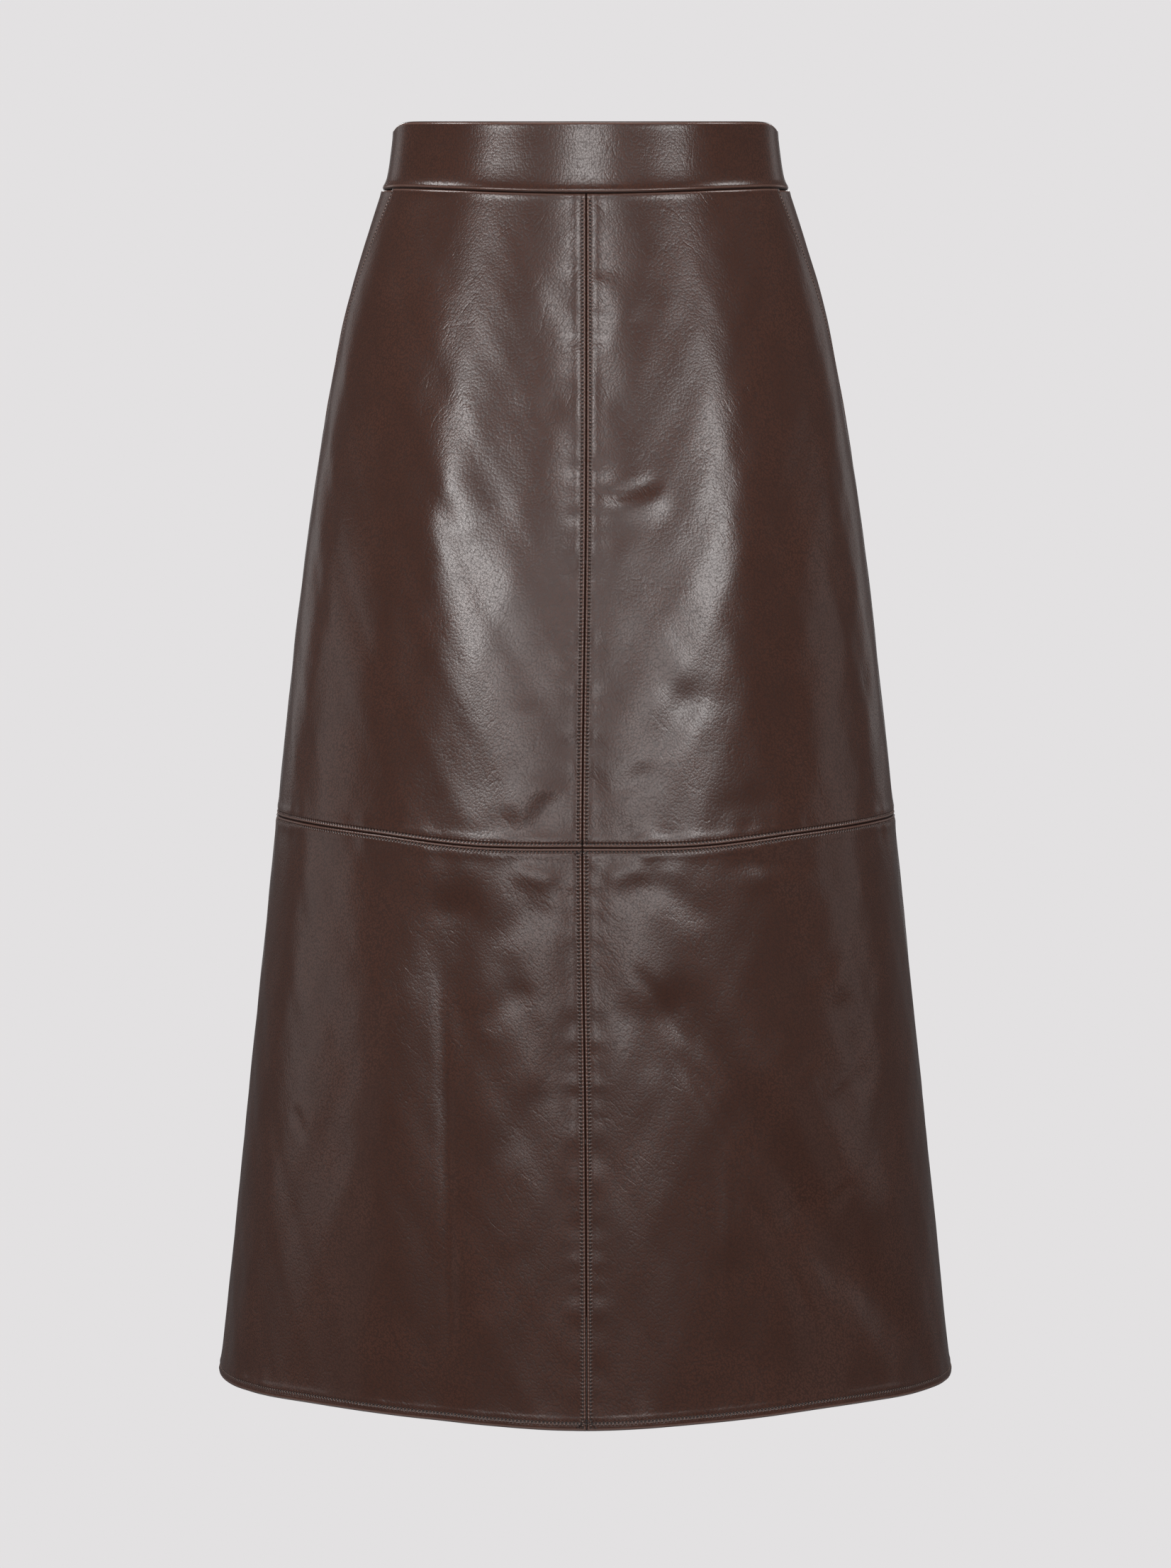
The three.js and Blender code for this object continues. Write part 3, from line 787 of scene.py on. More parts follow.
def hem_back(grid):
    """The inner face, doubled over the hem's turn-up."""
    doubled = 1 - smoothstep(HEM_TURN_UP, HEM_TURN_UP + 0.8, grid.from_bottom)
    return HEM_ROLL * hump(grid.from_bottom, 0, 0.65) - LEATHER * (1 + doubled)


def hip_face(angle, drop):
    """The hip piece lies under the pocket's edge and comes out flush at the side seam."""
    width = pocket_width(drop)
    shown = width - (90 - np.abs(angle)) * cloth_per_degree(angle, drop)
    rise = smoothstep(0, np.maximum(width, 1), shown) * smoothstep(*HIP_RISE, width)
    return -(LEATHER + 3 * HALF_GAP) * (1 - rise)


def leaning_band(angle, drop):
    """The band's front leans back a little towards its top edge, less towards the side seams."""
    return BAND_LEAN * (drop / BAND_HEIGHT - 0.5) * np.cos(np.radians(angle))


def band_cuts(cloth):
    top, bottom = top_edge, raised(waist_seam, -SEAM_REST)
    steps = (PLAIN_STEPS, PLAIN_STEPS, TOP_STEPS, SEAM_STEPS)
    pitch = cloth.front_pitch / MM
    lines = (upright(-90, SEAM_REST), upright(90, -SEAM_REST), top, bottom)
    finishes = (PLAIN_SEAM, PLAIN_SEAM, ROLLED_TOP, PLAIN_SEAM)
    cuts = [Cut("waistband_front", lines, finishes, steps, pitch, [])]
    cuts[0].base = leaning_band
    for name, side in SIDES:
        ends = in_order(upright(side * 90, side * SEAM_REST), notched(side), side)
        cuts.append(Cut(f"waistband_back_{name}", (*ends, top, bottom), finishes, steps, pitch, []))
    for cut in cuts:
        cut.back = band_back
    return cuts


UPPER_STEPS = (SEAM_STEPS, SEAM_STEPS, PLAIN_STEPS, SEAM_STEPS)


def front_upper(cloth, stitching, name, side):
    """From the centre front to the slanted pocket edge, and below it to the side seam."""
    seam, mouth = stitching.seam_inset / MM, stitching.pocket_inset / MM
    ends = in_order(edge_of(centre_front, side * SEAM_REST), pocket_edge(side, SEAM_REST), side)
    lines = (*ends, raised(waist_seam, SEAM_REST), raised(middle_seam, -SEAM_REST))
    finishes = (*in_order(sewn_seam(seam), pocket_mouth(mouth), side), PLAIN_SEAM, sewn_seam(seam))
    pitch = cloth.front_pitch / MM
    cut = Cut(f"front_upper_{name}", lines, finishes, UPPER_STEPS, pitch, ["waistband_front"])
    centre, flank = in_order("start", "end", side)
    lowest = value_at(cut.bottom, MIDDLES["front"])
    pocket_stop = POCKET_END_DROP - POCKET_ROW_STOP
    cut.rows = [
        row_round(cut, "bottom", seam, stitching),
        row_down(cut, centre, seam, BAND_HEIGHT + seam, lowest - seam, stitching),
        row_down(cut, flank, mouth, BAND_HEIGHT - ROW_TUCK, pocket_stop, stitching),
    ]
    cut.turned = TURNED["front_upper"] * side
    return cut


def back_upper(cloth, stitching, name, side):
    """From the side seam to the zip and the centre back seam below it."""
    seam = stitching.seam_inset / MM
    ends = in_order(upright(side * 90, side * SEAM_REST), upright(side * 180, -side * SEAM_REST), side)
    lines = (*ends, raised(waist_seam, SEAM_REST), raised(middle_seam, -SEAM_REST))
    finishes = (*in_order(PLAIN_SEAM, over_zip(seam), side), PLAIN_SEAM, sewn_seam(seam))
    pitch = cloth.back_pitch / MM
    cut = Cut(f"back_upper_{name}", lines, finishes, UPPER_STEPS, pitch, [f"waistband_back_{name}"])
    centre = "end" if side > 0 else "start"
    lowest = value_at(cut.bottom, MIDDLES["back"])
    cut.rows = [
        row_round(cut, "bottom", seam, stitching),
        row_down(cut, centre, seam, ZIP_END_DROP + ZIP_ROW_START, lowest - seam, stitching),
    ]
    cut.turned = TURNED["back_upper"] * side
    return cut


def upper_cuts(cloth, stitching):
    return [make(cloth, stitching, *each) for each in SIDES for make in (front_upper, back_upper)]


def hip_cuts(cloth):
    top, bottom = raised(waist_seam, SEAM_REST), straight(POCKET_END_DROP + POCKET_UNDERLAP)
    cuts = []
    for name, side in SIDES:
        side_line = upright(side * 90, -side * SEAM_REST)
        ends = in_order(pocket_edge(side, POCKET_UNDERLAP), side_line, side)
        finishes = (*in_order(FLAT_EDGE, PLAIN_SEAM, side), PLAIN_SEAM, FLAT_EDGE)
        steps = (*in_order(FEW_STEPS, PLAIN_STEPS, side), PLAIN_STEPS, FEW_STEPS)
        pitch = cloth.front_pitch / MM
        cut = Cut(f"hip_{name}", (*ends, top, bottom), finishes, steps, pitch, ["waistband_front"])
        cut.base = hip_face
        cuts.append(cut)
    return cuts


def lower_cuts(cloth, stitching):
    seam, hem = stitching.seam_inset / MM, stitching.hem_inset / MM
    top, bottom = raised(middle_seam, SEAM_REST), hem_edge
    down = (sewn_seam(seam), turned_hem(hem))
    cuts = []
    for name, side in SIDES:
        front = edge_of(centre_front, side * SEAM_REST), upright(side * 90, -side * SEAM_REST)
        back = upright(side * 180, -side * SEAM_REST), upright(side * 90, side * SEAM_REST)
        for place, (centre, flank), pitch in (
            ("front", front, cloth.front_pitch),
            ("back", back, cloth.back_pitch),
        ):
            turned = side if place == "front" else -side
            finishes = (*in_order(sewn_seam(seam), PLAIN_SEAM, turned), *down)
            steps = (*in_order(SEAM_STEPS, PLAIN_STEPS, turned), SEAM_STEPS, HEM_STEPS)
            lines = (*in_order(centre, flank, turned), top, bottom)
            above = [f"{place}_upper_{name}"]
            cut = Cut(f"{place}_lower_{name}", lines, finishes, steps, pitch / MM, above)
            cut.back = hem_back
            highest, lowest = (value_at(line, MIDDLES[place]) for line in (cut.top, cut.bottom))
            centre_edge = "start" if turned > 0 else "end"
            cut.rows = [
                row_round(cut, "top", seam, stitching),
                row_down(cut, centre_edge, seam, highest + seam, lowest - HEM_ROW_STOP, stitching),
                row_round(cut, "bottom", hem, stitching),
            ]
            cut.turned = TURNED[f"{place}_lower"]
            cuts.append(cut)
    return cuts


def tape_cut():
    """The zip's tape: it lies behind the band and the upper back pieces, across the centre back."""
    sides = upright(180, -TAPE_HALF_WIDTH), upright(180, TAPE_HALF_WIDTH)
    lines = (*sides, straight(TAPE_TOP), straight(ZIP_END_DROP))
    steps = (FEW_STEPS,) * 4
    bands = ["waistband_back_left", "waistband_back_right"]
    cut = Cut("zip_tape", lines, (FLAT_EDGE,) * 4, steps, 3.0, bands)
    cut.title = "zip_tape_woven"
    cut.slot = "zip_tape"
    cut.base = lambda angle, drop: tape_face(drop)
    cut.back = lambda grid: 0 * grid.drop - TAPE_THICKNESS
    return cut


def tape_face(drop):
    """Height of the tape's outer face: it steps out below the thick band."""
    share = smoothstep(BAND_HEIGHT + 1, BAND_HEIGHT + 12, drop)
    return -TAPE_CLEARANCE - BAND_THICKNESS * (1 - share) - LEATHER * share


def coil_teeth(sizes):
    """The turns of the closed coil on the tape's inner side, slanted to one side and the other."""
    centre = np.linspace(TAPE_TOP + 3, ZIP_END_DROP - 3, ROW_POINTS)
    row = SewnRow("start", 0, (180 + 0 * centre, centre), sizes.tooth_pitch / MM)
    middles = row.middles()
    radius = COIL_SHARE * row.pitch
    shape = stitch_shape(sizes.coil_width / MM, radius)
    drops = np.interp(middles, row.run, row.drop)
    heights = tape_face(drops)[:, None] - TAPE_THICKNESS - radius
    slant = 90 + COIL_SLANT * (-1) ** np.arange(row.count)
    return beads(row, middles, shape, heights, slant, face=-1)


class Wire:
    """A node's output, so that shader maths can be written as a Python expression."""

    def __init__(self, finish, socket):
        self.finish = finish
        self.socket = socket

    def maths(self, operation, *values):
        inputs = dict(enumerate(values))
        return self.finish.node("Math", {"operation": operation}, inputs)

    def __add__(self, other):
        return self.maths("ADD", self, other)

    __radd__ = __add__

    def __sub__(self, other):
        return self.maths("SUBTRACT", self, other)

    def __rsub__(self, other):
        return self.maths("SUBTRACT", other, self)

    def __mul__(self, other):
        return self.maths("MULTIPLY", self, other)

    __rmul__ = __mul__


class Finish:
    """One material, built node by node round a principled shader."""

    def __init__(self, name, sockets):
        self.material = bpy.data.materials.new(name)
        self.material.use_nodes = True
        self.tree = self.material.node_tree
        self.tree.nodes.clear()
        self.output = self.tree.nodes.new("ShaderNodeOutputMaterial")
        self.shader = self.tree.nodes.new("ShaderNodeBsdfPrincipled")
        self.tree.links.new(self.shader.outputs["BSDF"], self.output.inputs["Surface"])
        for key, value in sockets.items():
            self.shader.inputs[key].default_value = value

    def node(self, kind, settings=None, inputs=None, output=0):
        """A node of a kind, with its settings, and its sockets set to values or linked to wires."""
        made = self.tree.nodes.new(f"ShaderNode{kind}")
        for key, value in (settings or {}).items():
            setattr(made, key, value)
        for key, value in (inputs or {}).items():
            if isinstance(value, Wire):
                self.tree.links.new(value.socket, made.inputs[key])
            else:
                made.inputs[key].default_value = value
        return Wire(self, made.outputs[output])

    def feed(self, socket, wire):
        self.tree.links.new(wire.socket, self.shader.inputs[socket])

    def place(self, lot_offset=(0, 0, 0)):
        """Object coordinates in millimetres, moved by each piece's lot."""
        spot = self.node("TexCoord", output="Object")
        measured = self.node("VectorMath", {"operation": "SCALE"}, {0: spot, "Scale": 1 / MM})
        if not any(lot_offset):
            return measured
        lot = self.attribute("lot")
        offset = self.node("VectorMath", {"operation": "SCALE"}, {0: lot_offset, "Scale": lot})
        return self.node("VectorMath", {"operation": "ADD"}, {0: measured, 1: offset})

    def attribute(self, name):
        return self.node("Attribute", {"attribute_name": name}, output="Fac")

    def noise(self, place, size, detail=2, roughness=0.5, output="Fac"):
        """Soft noise with features of a size in millimetres."""
        inputs = {"Vector": place, "Scale": 1 / size, "Detail": detail, "Roughness": roughness}
        return self.node("TexNoise", {}, inputs, output)

    def cells(self, place, size, **sockets):
        """Distance from the middles of irregular cells of a size in millimetres."""
        inputs = {"Vector": place, "Scale": 1 / size, **sockets}
        return self.node("TexVoronoi", {}, inputs, "Distance")

    def near(self, value, centre, reach):
        """1 where a value is at the centre, fading to 0 at a reach from it."""
        distance = self.node("Math", {"operation": "ABSOLUTE"}, {0: value - centre})
        return 1 - self.between(distance, 0, reach)

    def beat(self, count):
        """1 at each whole number of a count and 0 half way between."""
        return 0.5 + 0.5 * self.node("Math", {"operation": "COSINE"}, {0: count * (2 * math.pi)})

    def between(self, value, low, high):
        """0 where a value is low and 1 where it is high, with soft ends."""
        inputs = {"Value": value, "From Min": low, "From Max": high}
        return self.node("MapRange", {"interpolation_type": "SMOOTHSTEP"}, inputs)

    def tint(self, share, first, second):
        """One colour where the share is 0, turning into another where it is 1."""
        inputs = {0: share}
        for index, colour in ((6, first), (7, second)):
            inputs[index] = colour if isinstance(colour, Wire) else (*colour, 1)
        return self.node("Mix", {"data_type": "RGBA"}, inputs, 2)

    def shades(self, share, colour, low):
        """A colour where the share is 1, and darker by a factor where it is 0."""
        return self.tint(share, scaled(colour, low), colour)

    def relief(self, height):
        """Bump from a height in millimetres."""
        inputs = {"Height": height, "Distance": MM, "Strength": 1.0}
        self.feed("Normal", self.node("Bump", {}, inputs))


def scaled(colour, factor):
    return tuple(channel * factor for channel in colour)


def leather_finish(colours):
    """Pebbled brown leather with half gloss outside and a knitted backing inside."""
    finish = Finish("pebbled_leather", {"IOR": 1.55})
    place = finish.place((37, 61, 53))
    lean = finish.node("CombineXYZ", {}, {"Y": finish.attribute("turned")})
    drift = finish.noise(place, 7, 2, output="Color")
    warp = finish.node("VectorMath", {"operation": "SCALE"}, {0: drift, "Scale": 1.4})
    warped = finish.node("VectorMath", {"operation": "ADD"}, {0: place, 1: warp})
    stretched = {"Vector": warped, "Rotation": lean, "Scale": (1, 1, 1.3)}
    hide = finish.node("Mapping", {"vector_type": "TEXTURE"}, stretched)
    pebble = finish.cells(hide, 1.35, Randomness=0.8)
    dome = 1 - pebble * pebble
    patch = finish.noise(place, 15, 0.5)
    broad = finish.noise(place, 34, 1)
    drawn = {"Vector": place, "Rotation": lean, "Scale": (1, 1, 3.2)}
    length = finish.node("Mapping", {"vector_type": "TEXTURE"}, drawn)
    wrinkle = finish.near(finish.noise(length, 9, 2), 0.5, 0.05) * finish.between(patch, 0.48, 0.62)

    inside = finish.between(finish.attribute("inside"), 0.2, 0.6)
    outside = 1 - inside
    from_edge = finish.attribute("from_edge")
    groove = 1 - finish.between(from_edge, 0.05, 0.6)
    # the ridge beside each edge: it gets a lighter colour below, partly wear and partly a painted highlight
    ridge = finish.near(from_edge, 1.25, 0.9)
    row_gap = finish.attribute("row_gap")
    beat = finish.beat(finish.attribute("stitch_count"))
    dent = finish.near(row_gap, 0, 1.15) * beat
    puff = (1 - beat) * (finish.near(row_gap, -1.15, 0.9) + 0.6 * finish.near(row_gap, 1.1, 1.0))

    base = tuple(colours.leather)
    skin = finish.tint(finish.between(broad, 0.3, 0.7), scaled(base, 0.9), scaled(base, 1.1))
    # painted shade: darker in the hollows between the pebbles
    skin = finish.tint(finish.between(dome, 0.6, 0.88), scaled(base, 0.7), skin)
    # lighter on the seam ridges: partly wear, partly a painted highlight
    skin = finish.tint(ridge * 0.6, skin, colours.wear_and_highlight)
    # painted shade: nearly black within about half a millimetre of each edge, in the seams' grooves and on
    # the turned edges
    skin = finish.tint(groove * 0.85, skin, scaled(base, 0.15))
    # painted shade: nearly black in the dent at each stitch hole
    skin = finish.tint(dent, skin, scaled(base, 0.06))

    loops = finish.cells(place, 0.9)
    knit = finish.tint(loops, colours.backing, scaled(colours.backing, 0.45))
    finish.feed("Base Color", finish.tint(inside, skin, knit))
    gloss = 0.24 - 0.04 * patch - 0.03 * ridge + 0.1 * (1 - dome) + 0.3 * groove + 0.3 * dent
    finish.feed("Roughness", gloss * outside + 0.9 * inside)
    grain = 0.05 * dome + 0.07 * patch + 0.12 * broad - 0.03 * wrinkle
    sewn = 0.14 * puff - 0.4 * dent
    finish.relief((grain + sewn) * outside + 0.25 * (1 - loops) * inside)
    return finish.material


def thread_finish(colours):
    """Twisted thread, with painted shade near black where it dips into its holes."""
    finish = Finish("topstitching_thread", {"Roughness": 0.42, "Sheen Weight": 0.15})
    place = finish.place()
    twist = finish.noise(place, 0.35, 2)
    sunk = finish.attribute("sunk")
    colour = finish.shades(twist, colours.thread, 0.75)
    # painted shade: near black at the sunk ends of each stitch and each turn of the coil
    finish.feed("Base Color", finish.tint(finish.between(sunk, 0.1, 0.75), colour, (0.006, 0.004, 0.003)))
    finish.relief(0.08 * twist)
    return finish.material


def tape_finish(colours):
    """Zip tape in a fine twill: slanted ribs of short fibres."""
    finish = Finish("woven_zip_tape", {"Roughness": 0.85, "Sheen Weight": 0.1})
    place = finish.place()
    ribs = {"Vector": place, "Scale": 0.35, "Distortion": 0.4}
    wave = finish.node("TexWave", {"bands_direction": "DIAGONAL"}, ribs)
    fibre = finish.noise(place, 0.5, 2)
    weave = wave * (0.7 + 0.3 * fibre)
    finish.feed("Base Color", finish.shades(weave, colours.tape, 0.5))
    finish.relief(0.12 * weave)
    return finish.material


def metal_finish(colours):
    """Brown enamel on a cast slider and its pull."""
    sockets = {"Metallic": 0.55, "Coat Weight": 0.4, "Coat Roughness": 0.15}
    finish = Finish("enamelled_zip_metal", sockets)
    place = finish.place()
    haze = finish.noise(place, 3, 3)
    speck = finish.between(finish.noise(place, 0.6, 3), 0.62, 0.72)
    finish.feed("Roughness", 0.26 + 0.12 * haze + 0.15 * speck)
    finish.feed("Base Color", finish.shades(haze, colours.metal, 0.8))
    finish.relief(0.01 * haze)
    return finish.material


# The floor is a disc with a radius in metres
FLOOR_RADIUS = 0.78
FLOOR_SIDES = 96


def floor_finish(colours):
    """Pale painted floor that thins out towards its rim."""
    finish = Finish("pale_floor", {"Roughness": 0.8})
    spot = finish.node("TexCoord", output="Object")
    reach = finish.node("VectorMath", {"operation": "LENGTH"}, {0: spot}, "Value")
    cloud = finish.noise(spot, 0.6, 2)
    finish.feed("Base Color", finish.tint(cloud, colours.floor, scaled(colours.floor, 0.98)))
    finish.feed("Alpha", 1 - finish.between(reach, 0.5 * FLOOR_RADIUS, 0.9 * FLOOR_RADIUS))
    return finish.material


def kept(make, *sizes):
    """A material made once and found by its name afterwards."""
    name = make.__name__
    if name not in FINISHES:
        FINISHES[name] = make(*sizes)
    return FINISHES[name]


def size_setting(name, about, default, low=0, **kind):
    """A number for the sidebar: a length, unless its kind says otherwise."""
    kind = kind or {"unit": "LENGTH"}
    return bpy.props.FloatProperty(name=name, description=about, default=default, min=low, **kind)


def colour_setting(name, about, default):
    return bpy.props.FloatVectorProperty(
        name=name, description=about, default=default, size=3, min=0, max=1, subtype="COLOR"
    )


class ClothSizes(bpy.types.PropertyGroup):
    front_pitch: size_setting("Front mesh pitch", "Between mesh points on the front pieces", 0.0031, 0.002)
    back_pitch: size_setting("Back mesh pitch", "Between mesh points on the back pieces", 0.0037, 0.002)


class StitchSizes(bpy.types.PropertyGroup):
    pitch: size_setting("Stitch pitch", "Distance from one topstitch to the next", 0.0024, 0.001)
    length: size_setting("Stitch length", "Length of thread between two holes", 0.0014, 0.001)
    radius: size_setting("Thread radius", "Half the thickness of the topstitching thread", 0.0004, 0.0001)
    seam_inset: size_setting("Seam inset", "Distance of a topstitch row from its seam", 0.00245, 0.001)
    pocket_inset: size_setting("Pocket inset", "Distance of the row from a pocket's edge", 0.002, 0.001)
    hem_inset: size_setting("Hem inset", "Height of the topstitch row above the hem's edge", 0.005, 0.002)


class ZipSizes(bpy.types.PropertyGroup):
    tooth_pitch: size_setting("Tooth pitch", "Distance from one turn of the coil to the next", 0.0012, 0.0005)
    coil_width: size_setting("Coil width", "Width of the closed coil", 0.003, 0.001)
    metal_edge: size_setting("Metal edge", "Rounding along the slider's and pull's edges", 0.00018, 0.00005)


class SkirtColours(bpy.types.PropertyGroup):
    leather: colour_setting("Leather", "Dyed face of the leather", (0.066, 0.0255, 0.0165))
    # the ridges' colour is partly wear and partly a painted highlight
    wear_and_highlight: colour_setting("Worn leather", "Ridges beside the seams", (0.19, 0.105, 0.083))
    backing: colour_setting("Backing", "Knitted inner side of the leather", (0.07, 0.04, 0.032))
    thread: colour_setting("Thread", "Topstitching thread", (0.2, 0.118, 0.093))
    tape: colour_setting("Zip tape", "Woven tape of the zip", (0.045, 0.026, 0.021))
    metal: colour_setting("Zip metal", "Enamel on the slider and its pull", (0.075, 0.045, 0.036))
    floor: colour_setting("Floor", "Studio floor", (0.8, 0.79, 0.79))
    background: colour_setting("Background", "Studio wall", (0.768, 0.753, 0.760))


class StudioSizes(bpy.types.PropertyGroup):
    camera_distance: size_setting("Camera distance", "From the camera to the body's axis", 4.0, 1)
    camera_tilt: size_setting("Camera tilt", "How far it looks down", math.radians(6.144), subtype="ANGLE")
    lens: size_setting("Lens", "Focal length of the camera", 141.37, 20, unit="CAMERA")
    floor_drop: size_setting("Floor below hem", "Height of the hem above the floor", 0.3, 0.01)
    light_scale: size_setting("Light", "Strength of all the lamps together", 1.0, subtype="FACTOR")
    room_light: size_setting("Room light", "Light that the walls give back", 0.15, subtype="FACTOR")


def make_pieces(scene, cuts, lot):
    """The leather of several pieces, each from a place of its own on the hide, and its sewing."""
    leather = kept(leather_finish, scene.skirt_colours)
    for count, cut in enumerate(cuts):
        made = cloth_piece(cut, leather, lot + LOT_STEP * count)
        sewing = [stitches(cut, scene, seed=round(lot) + count)] if cut.rows else []
    return {"FINISHED"}


def stitches(cut, scene, seed):
    """All the topstitching on one piece as one mesh."""
    rng = np.random.default_rng(seed)
    points, faces, sunk = joined([stitch_row(row, scene.skirt_stitches, rng) for row in cut.rows])
    thread = kept(thread_finish, scene.skirt_colours)
    made = mesh_object(f"{cut.name}_topstitching", points, faces, thread, {"sunk": sunk})
    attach(made, "root")
    return made


class SKIRT_OT_waistband(bpy.types.Operator):
    """Make the waistband: one piece in front and two behind"""

    bl_idname = "skirt.waistband"
    bl_label = "Waistband"

    def execute(self, context):
        scene = context.scene
        return make_pieces(scene, band_cuts(scene.skirt_cloth), 1.0)


class SKIRT_OT_upper_pieces(bpy.types.Operator):
    """Make the upper front and back pieces with their topstitching"""

    bl_idname = "skirt.upper_pieces"
    bl_label = "Upper pieces"

    def execute(self, context):
        scene = context.scene
        return make_pieces(scene, upper_cuts(scene.skirt_cloth, scene.skirt_stitches), 3.0)


class SKIRT_OT_hip_pieces(bpy.types.Operator):
    """Make the hip pieces that show behind the slanted pocket edges"""

    bl_idname = "skirt.hip_pieces"
    bl_label = "Hip pieces"

    def execute(self, context):
        scene = context.scene
        return make_pieces(scene, hip_cuts(scene.skirt_cloth), 6.0)


class SKIRT_OT_lower_pieces(bpy.types.Operator):
    """Make the lower front and back pieces with their topstitching and turned-up hem"""

    bl_idname = "skirt.lower_pieces"
    bl_label = "Lower pieces"

    def execute(self, context):
        scene = context.scene
        return make_pieces(scene, lower_cuts(scene.skirt_cloth, scene.skirt_stitches), 8.0)


def rounded_copy(node, name, edge, material):
    """A copy of a plain solid's mesh with its sharp edges rounded, standing for that node."""
    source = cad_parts[node]
    mesh = source.data.copy()
    mesh.materials.clear()
    mesh.materials.append(material)
    shape = bmesh.new()
    shape.from_mesh(mesh)
    bmesh.ops.remove_doubles(shape, verts=shape.verts, dist=0.001 * MM)
    bmesh.ops.dissolve_limit(shape, angle_limit=math.radians(1), verts=shape.verts, edges=shape.edges)
    sharp = [each for each in shape.edges if each.calc_face_angle(0) > SHARP_ANGLE]
    rounding = {"offset": edge, "segments": 2, "profile": 0.5, "affect": "EDGES"}
    bmesh.ops.bevel(shape, geom=sharp, clamp_overlap=True, **rounding)
    for face in shape.faces:
        face.material_index = 0
    shape.to_mesh(mesh)
    shape.free()
    mesh.shade_smooth()
    mesh.set_sharp_from_angle(angle=SHARP_ANGLE)
    made = bpy.data.objects.new(name, mesh)
    bpy.context.scene.collection.objects.link(made)
    made.matrix_world = source.matrix_world
    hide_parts(node)
    return made


class SKIRT_OT_zip(bpy.types.Operator):
    """Make the centre back zip: its tape, its coil, and the slider with its pull"""

    bl_idname = "skirt.zip"
    bl_label = "Zip"

    def execute(self, context):
        scene = context.scene
        sizes, colours = scene.skirt_zip, scene.skirt_colours
        cut = tape_cut()
        tape = cloth_piece(cut, kept(tape_finish, colours), 12.0)
        points, faces, sunk = coil_teeth(sizes)
        # the coil takes the thread's finish, with its painted shade at the sunk ends
        coil = mesh_object("zip_coil", points, faces, kept(thread_finish, colours), {"sunk": sunk})
        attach(coil, "root")
        metal = kept(metal_finish, colours)
        for node, body in (("zip_slider", "root"), ("zip_pull", "pull")):
            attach(rounded_copy(node, f"{node}_metal", sizes.metal_edge, metal), body)
        return {"FINISHED"}


LAMP_DISTANCE = 2.4
LAMPS = (
    # name, azimuth, height, (width, height), roll, glow
    ("front_panel", 0, 0.12, (2.0, 0.5), 0, 0.75),
    ("front_left_bar", -36, 0.25, (0.85, 0.2), 27, 21),
    ("front_left_tail", -16, -0.2, (0.85, 0.2), 27, 5.5),
    ("front_right_bar", 35, 0.23, (0.85, 0.24), -27, 16),
    ("front_right_tail", 15, -0.18, (0.8, 0.24), -27, 5.5),
    ("front_middle", 0, 0.62, (0.6, 0.2), 0, 18),
    ("front_high", 0, 0.82, (1.6, 0.2), 0, 1.2),
    ("front_low", 0, -0.6, (0.9, 0.5), 0, 0.15),
    ("left_side", -92, -0.4, (1.3, 0.75), 0, 0.6),
    ("left_low", -64, -0.75, (0.9, 0.6), 0, 0.18),
    ("right_side", 90, -0.3, (1.0, 0.8), 0, 0.4),
    ("right_low", 64, -0.8, (0.8, 0.6), 0, 0.14),
    ("left_rim", -136, 0, (0.7, 1.0), 0, 0.45),
    ("right_rim", 136, 0, (0.6, 1.0), 0, 0.4),
    ("rear_panel", 180, 0.75, (1.6, 0.7), 0, 1.6),
    ("rear_low", 180, -0.35, (1.4, 1.0), 0, 0.35),
    ("rear_left_bar", 168, 0.7, (0.28, 0.7), 12, 5),
    ("rear_right_bar", -165, 0.7, (0.28, 0.7), -12, 5),
)
# Lamps so high that the cloth shows no reflection of them, with their pitch at the end
HIGH_LAMPS = (
    ("left_high", -82, 2.1, (1.3, 1.2), 0, 10, 42),
    ("right_high", 82, 2.1, (1.2, 1.2), 0, 7.5, 42),
    ("rear_high", 180, 2.1, (1.6, 1.2), 0, 8, 42),
)


def lamp(name, azimuth, height, size, roll, glow, scale, pitch=0):
    """A soft box at an azimuth from the front, facing the body's axis and pitched down."""
    data = bpy.data.lights.new(name, "AREA")
    data.shape = "RECTANGLE"
    data.size, data.size_y = size
    data.energy = glow * math.pi * size[0] * size[1] * scale
    made = bpy.data.objects.new(name, data)
    turn = math.radians(azimuth)
    made.location = (LAMP_DISTANCE * math.sin(turn), -LAMP_DISTANCE * math.cos(turn), height)
    made.rotation_euler = (math.pi / 2 - math.radians(pitch), math.radians(roll), turn)
    made.visible_camera = False
    bpy.context.scene.collection.objects.link(made)
    return made


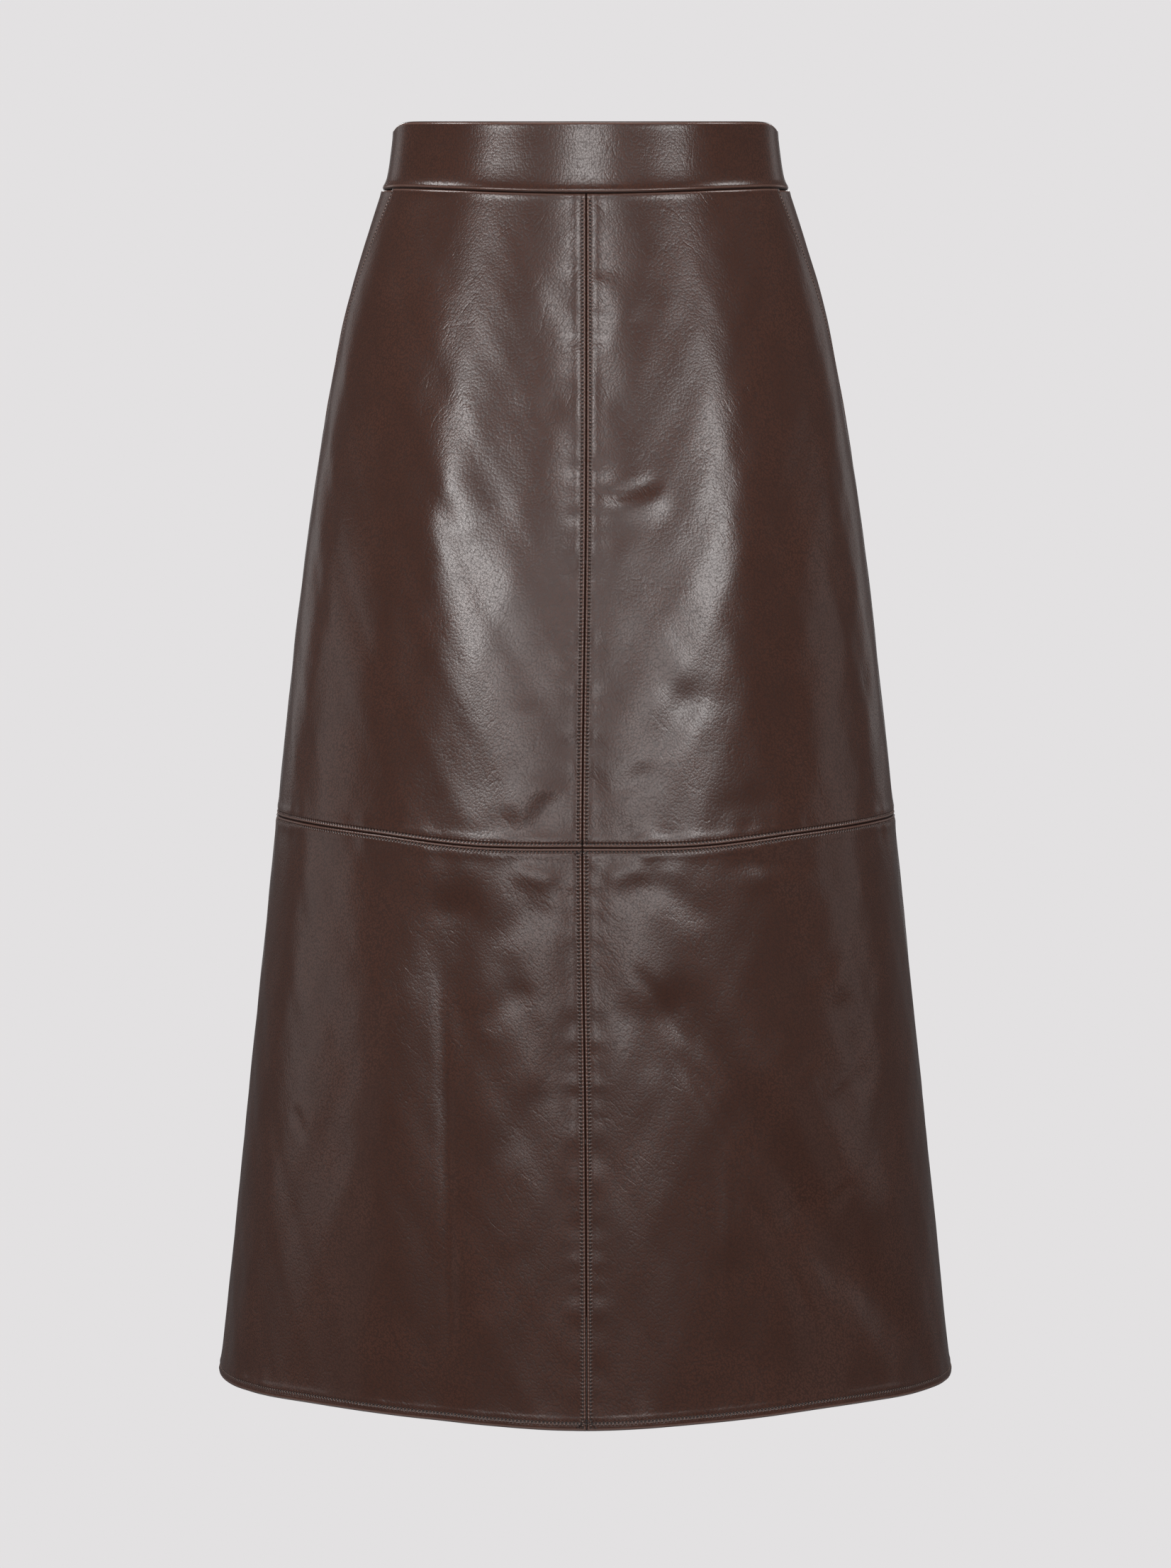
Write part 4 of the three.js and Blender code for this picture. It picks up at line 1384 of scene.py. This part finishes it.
class SKIRT_OT_studio(bpy.types.Operator):
    """Make the floor, the lights and the camera at the photograph's angle"""

    bl_idname = "skirt.studio"
    bl_label = "Studio"

    def execute(self, context):
        scene = context.scene
        studio = scene.skirt_studio
        colours = scene.skirt_colours
        self.room(scene, studio, colours)
        self.floor(studio, colours)
        for row in LAMPS:
            lamp(*row, studio.light_scale)
        for *row, pitch in HIGH_LAMPS:
            lamp(*row, studio.light_scale, pitch)
        self.overhead(studio)
        data = bpy.data.cameras.new("camera")
        data.lens = studio.lens
        camera = bpy.data.objects.new("camera", data)
        camera.location = (0, -studio.camera_distance, ORIGIN_DROP * MM)
        camera.rotation_euler = (math.pi / 2 - studio.camera_tilt, 0, 0)
        scene.collection.objects.link(camera)
        scene.camera = camera
        scene.view_settings.view_transform = "Standard"
        return {"FINISHED"}

    def overhead(self, studio):
        """A soft box above, which lights the waistband's top edge and the inside."""
        above = lamp("overhead", 0, 0, (1.8, 1.4), 0, 2.2, studio.light_scale)
        above.location = (0, -0.3, 2.2)
        above.rotation_euler = (0, 0, 0)

    def room(self, scene, studio, colours):
        """Pale walls as the camera sees them, which light the skirt softly."""
        world = bpy.data.worlds.new("studio_walls")
        world.use_nodes = True
        tree = world.node_tree
        tree.nodes.clear()
        output = tree.nodes.new("ShaderNodeOutputWorld")
        mix = tree.nodes.new("ShaderNodeMixShader")
        path = tree.nodes.new("ShaderNodeLightPath")
        shades = []
        for strength in (studio.room_light, 1.0):
            shade = tree.nodes.new("ShaderNodeBackground")
            shade.inputs["Color"].default_value = (*colours.background, 1)
            shade.inputs["Strength"].default_value = strength
            shades.append(shade)
        tree.links.new(path.outputs["Is Camera Ray"], mix.inputs["Fac"])
        tree.links.new(shades[0].outputs[0], mix.inputs[1])
        tree.links.new(shades[1].outputs[0], mix.inputs[2])
        tree.links.new(mix.outputs[0], output.inputs["Surface"])
        scene.world = world

    def floor(self, studio, colours):
        turn = np.arange(FLOOR_SIDES) * 2 * math.pi / FLOOR_SIDES
        rim = np.stack([np.cos(turn), np.sin(turn), 0 * turn], axis=-1) * FLOOR_RADIUS / MM
        floor = mesh_object("floor", rim, [range(FLOOR_SIDES)], floor_finish(colours))
        floor.location.z = cad_low[2] - studio.floor_drop


class SKIRT_PT_builder(bpy.types.Panel):
    """The skirt's sizes, colours and steps"""

    bl_idname = "SKIRT_PT_builder"
    bl_label = "Leather skirt"
    bl_space_type = "VIEW_3D"
    bl_region_type = "UI"
    bl_category = "Skirt"

    def draw(self, context):
        layout = self.layout
        for group in GROUPS:
            box = layout.box()
            settings = getattr(context.scene, group)
            for name in settings.__annotations__:
                box.prop(settings, name)
        for operator in OPERATORS:
            layout.operator(operator.bl_idname)


GROUPS = {
    "skirt_cloth": ClothSizes,
    "skirt_stitches": StitchSizes,
    "skirt_zip": ZipSizes,
    "skirt_colours": SkirtColours,
    "skirt_studio": StudioSizes,
}
OPERATORS = (
    SKIRT_OT_waistband,
    SKIRT_OT_upper_pieces,
    SKIRT_OT_hip_pieces,
    SKIRT_OT_lower_pieces,
    SKIRT_OT_zip,
    SKIRT_OT_studio,
)


def register():
    for group in (*GROUPS.values(), *OPERATORS, SKIRT_PT_builder):
        bpy.utils.register_class(group)
    for name, group in GROUPS.items():
        setattr(bpy.types.Scene, name, bpy.props.PointerProperty(type=group))


def unregister():
    for name in GROUPS:
        delattr(bpy.types.Scene, name)
    for group in reversed((*GROUPS.values(), *OPERATORS, SKIRT_PT_builder)):
        bpy.utils.unregister_class(group)


def main():
    register()
    bpy.ops.skirt.waistband()
    bpy.ops.skirt.upper_pieces()
    bpy.ops.skirt.hip_pieces()
    bpy.ops.skirt.lower_pieces()
    bpy.ops.skirt.zip()
    bpy.ops.skirt.studio()


if __name__ == "__main__":
    main()
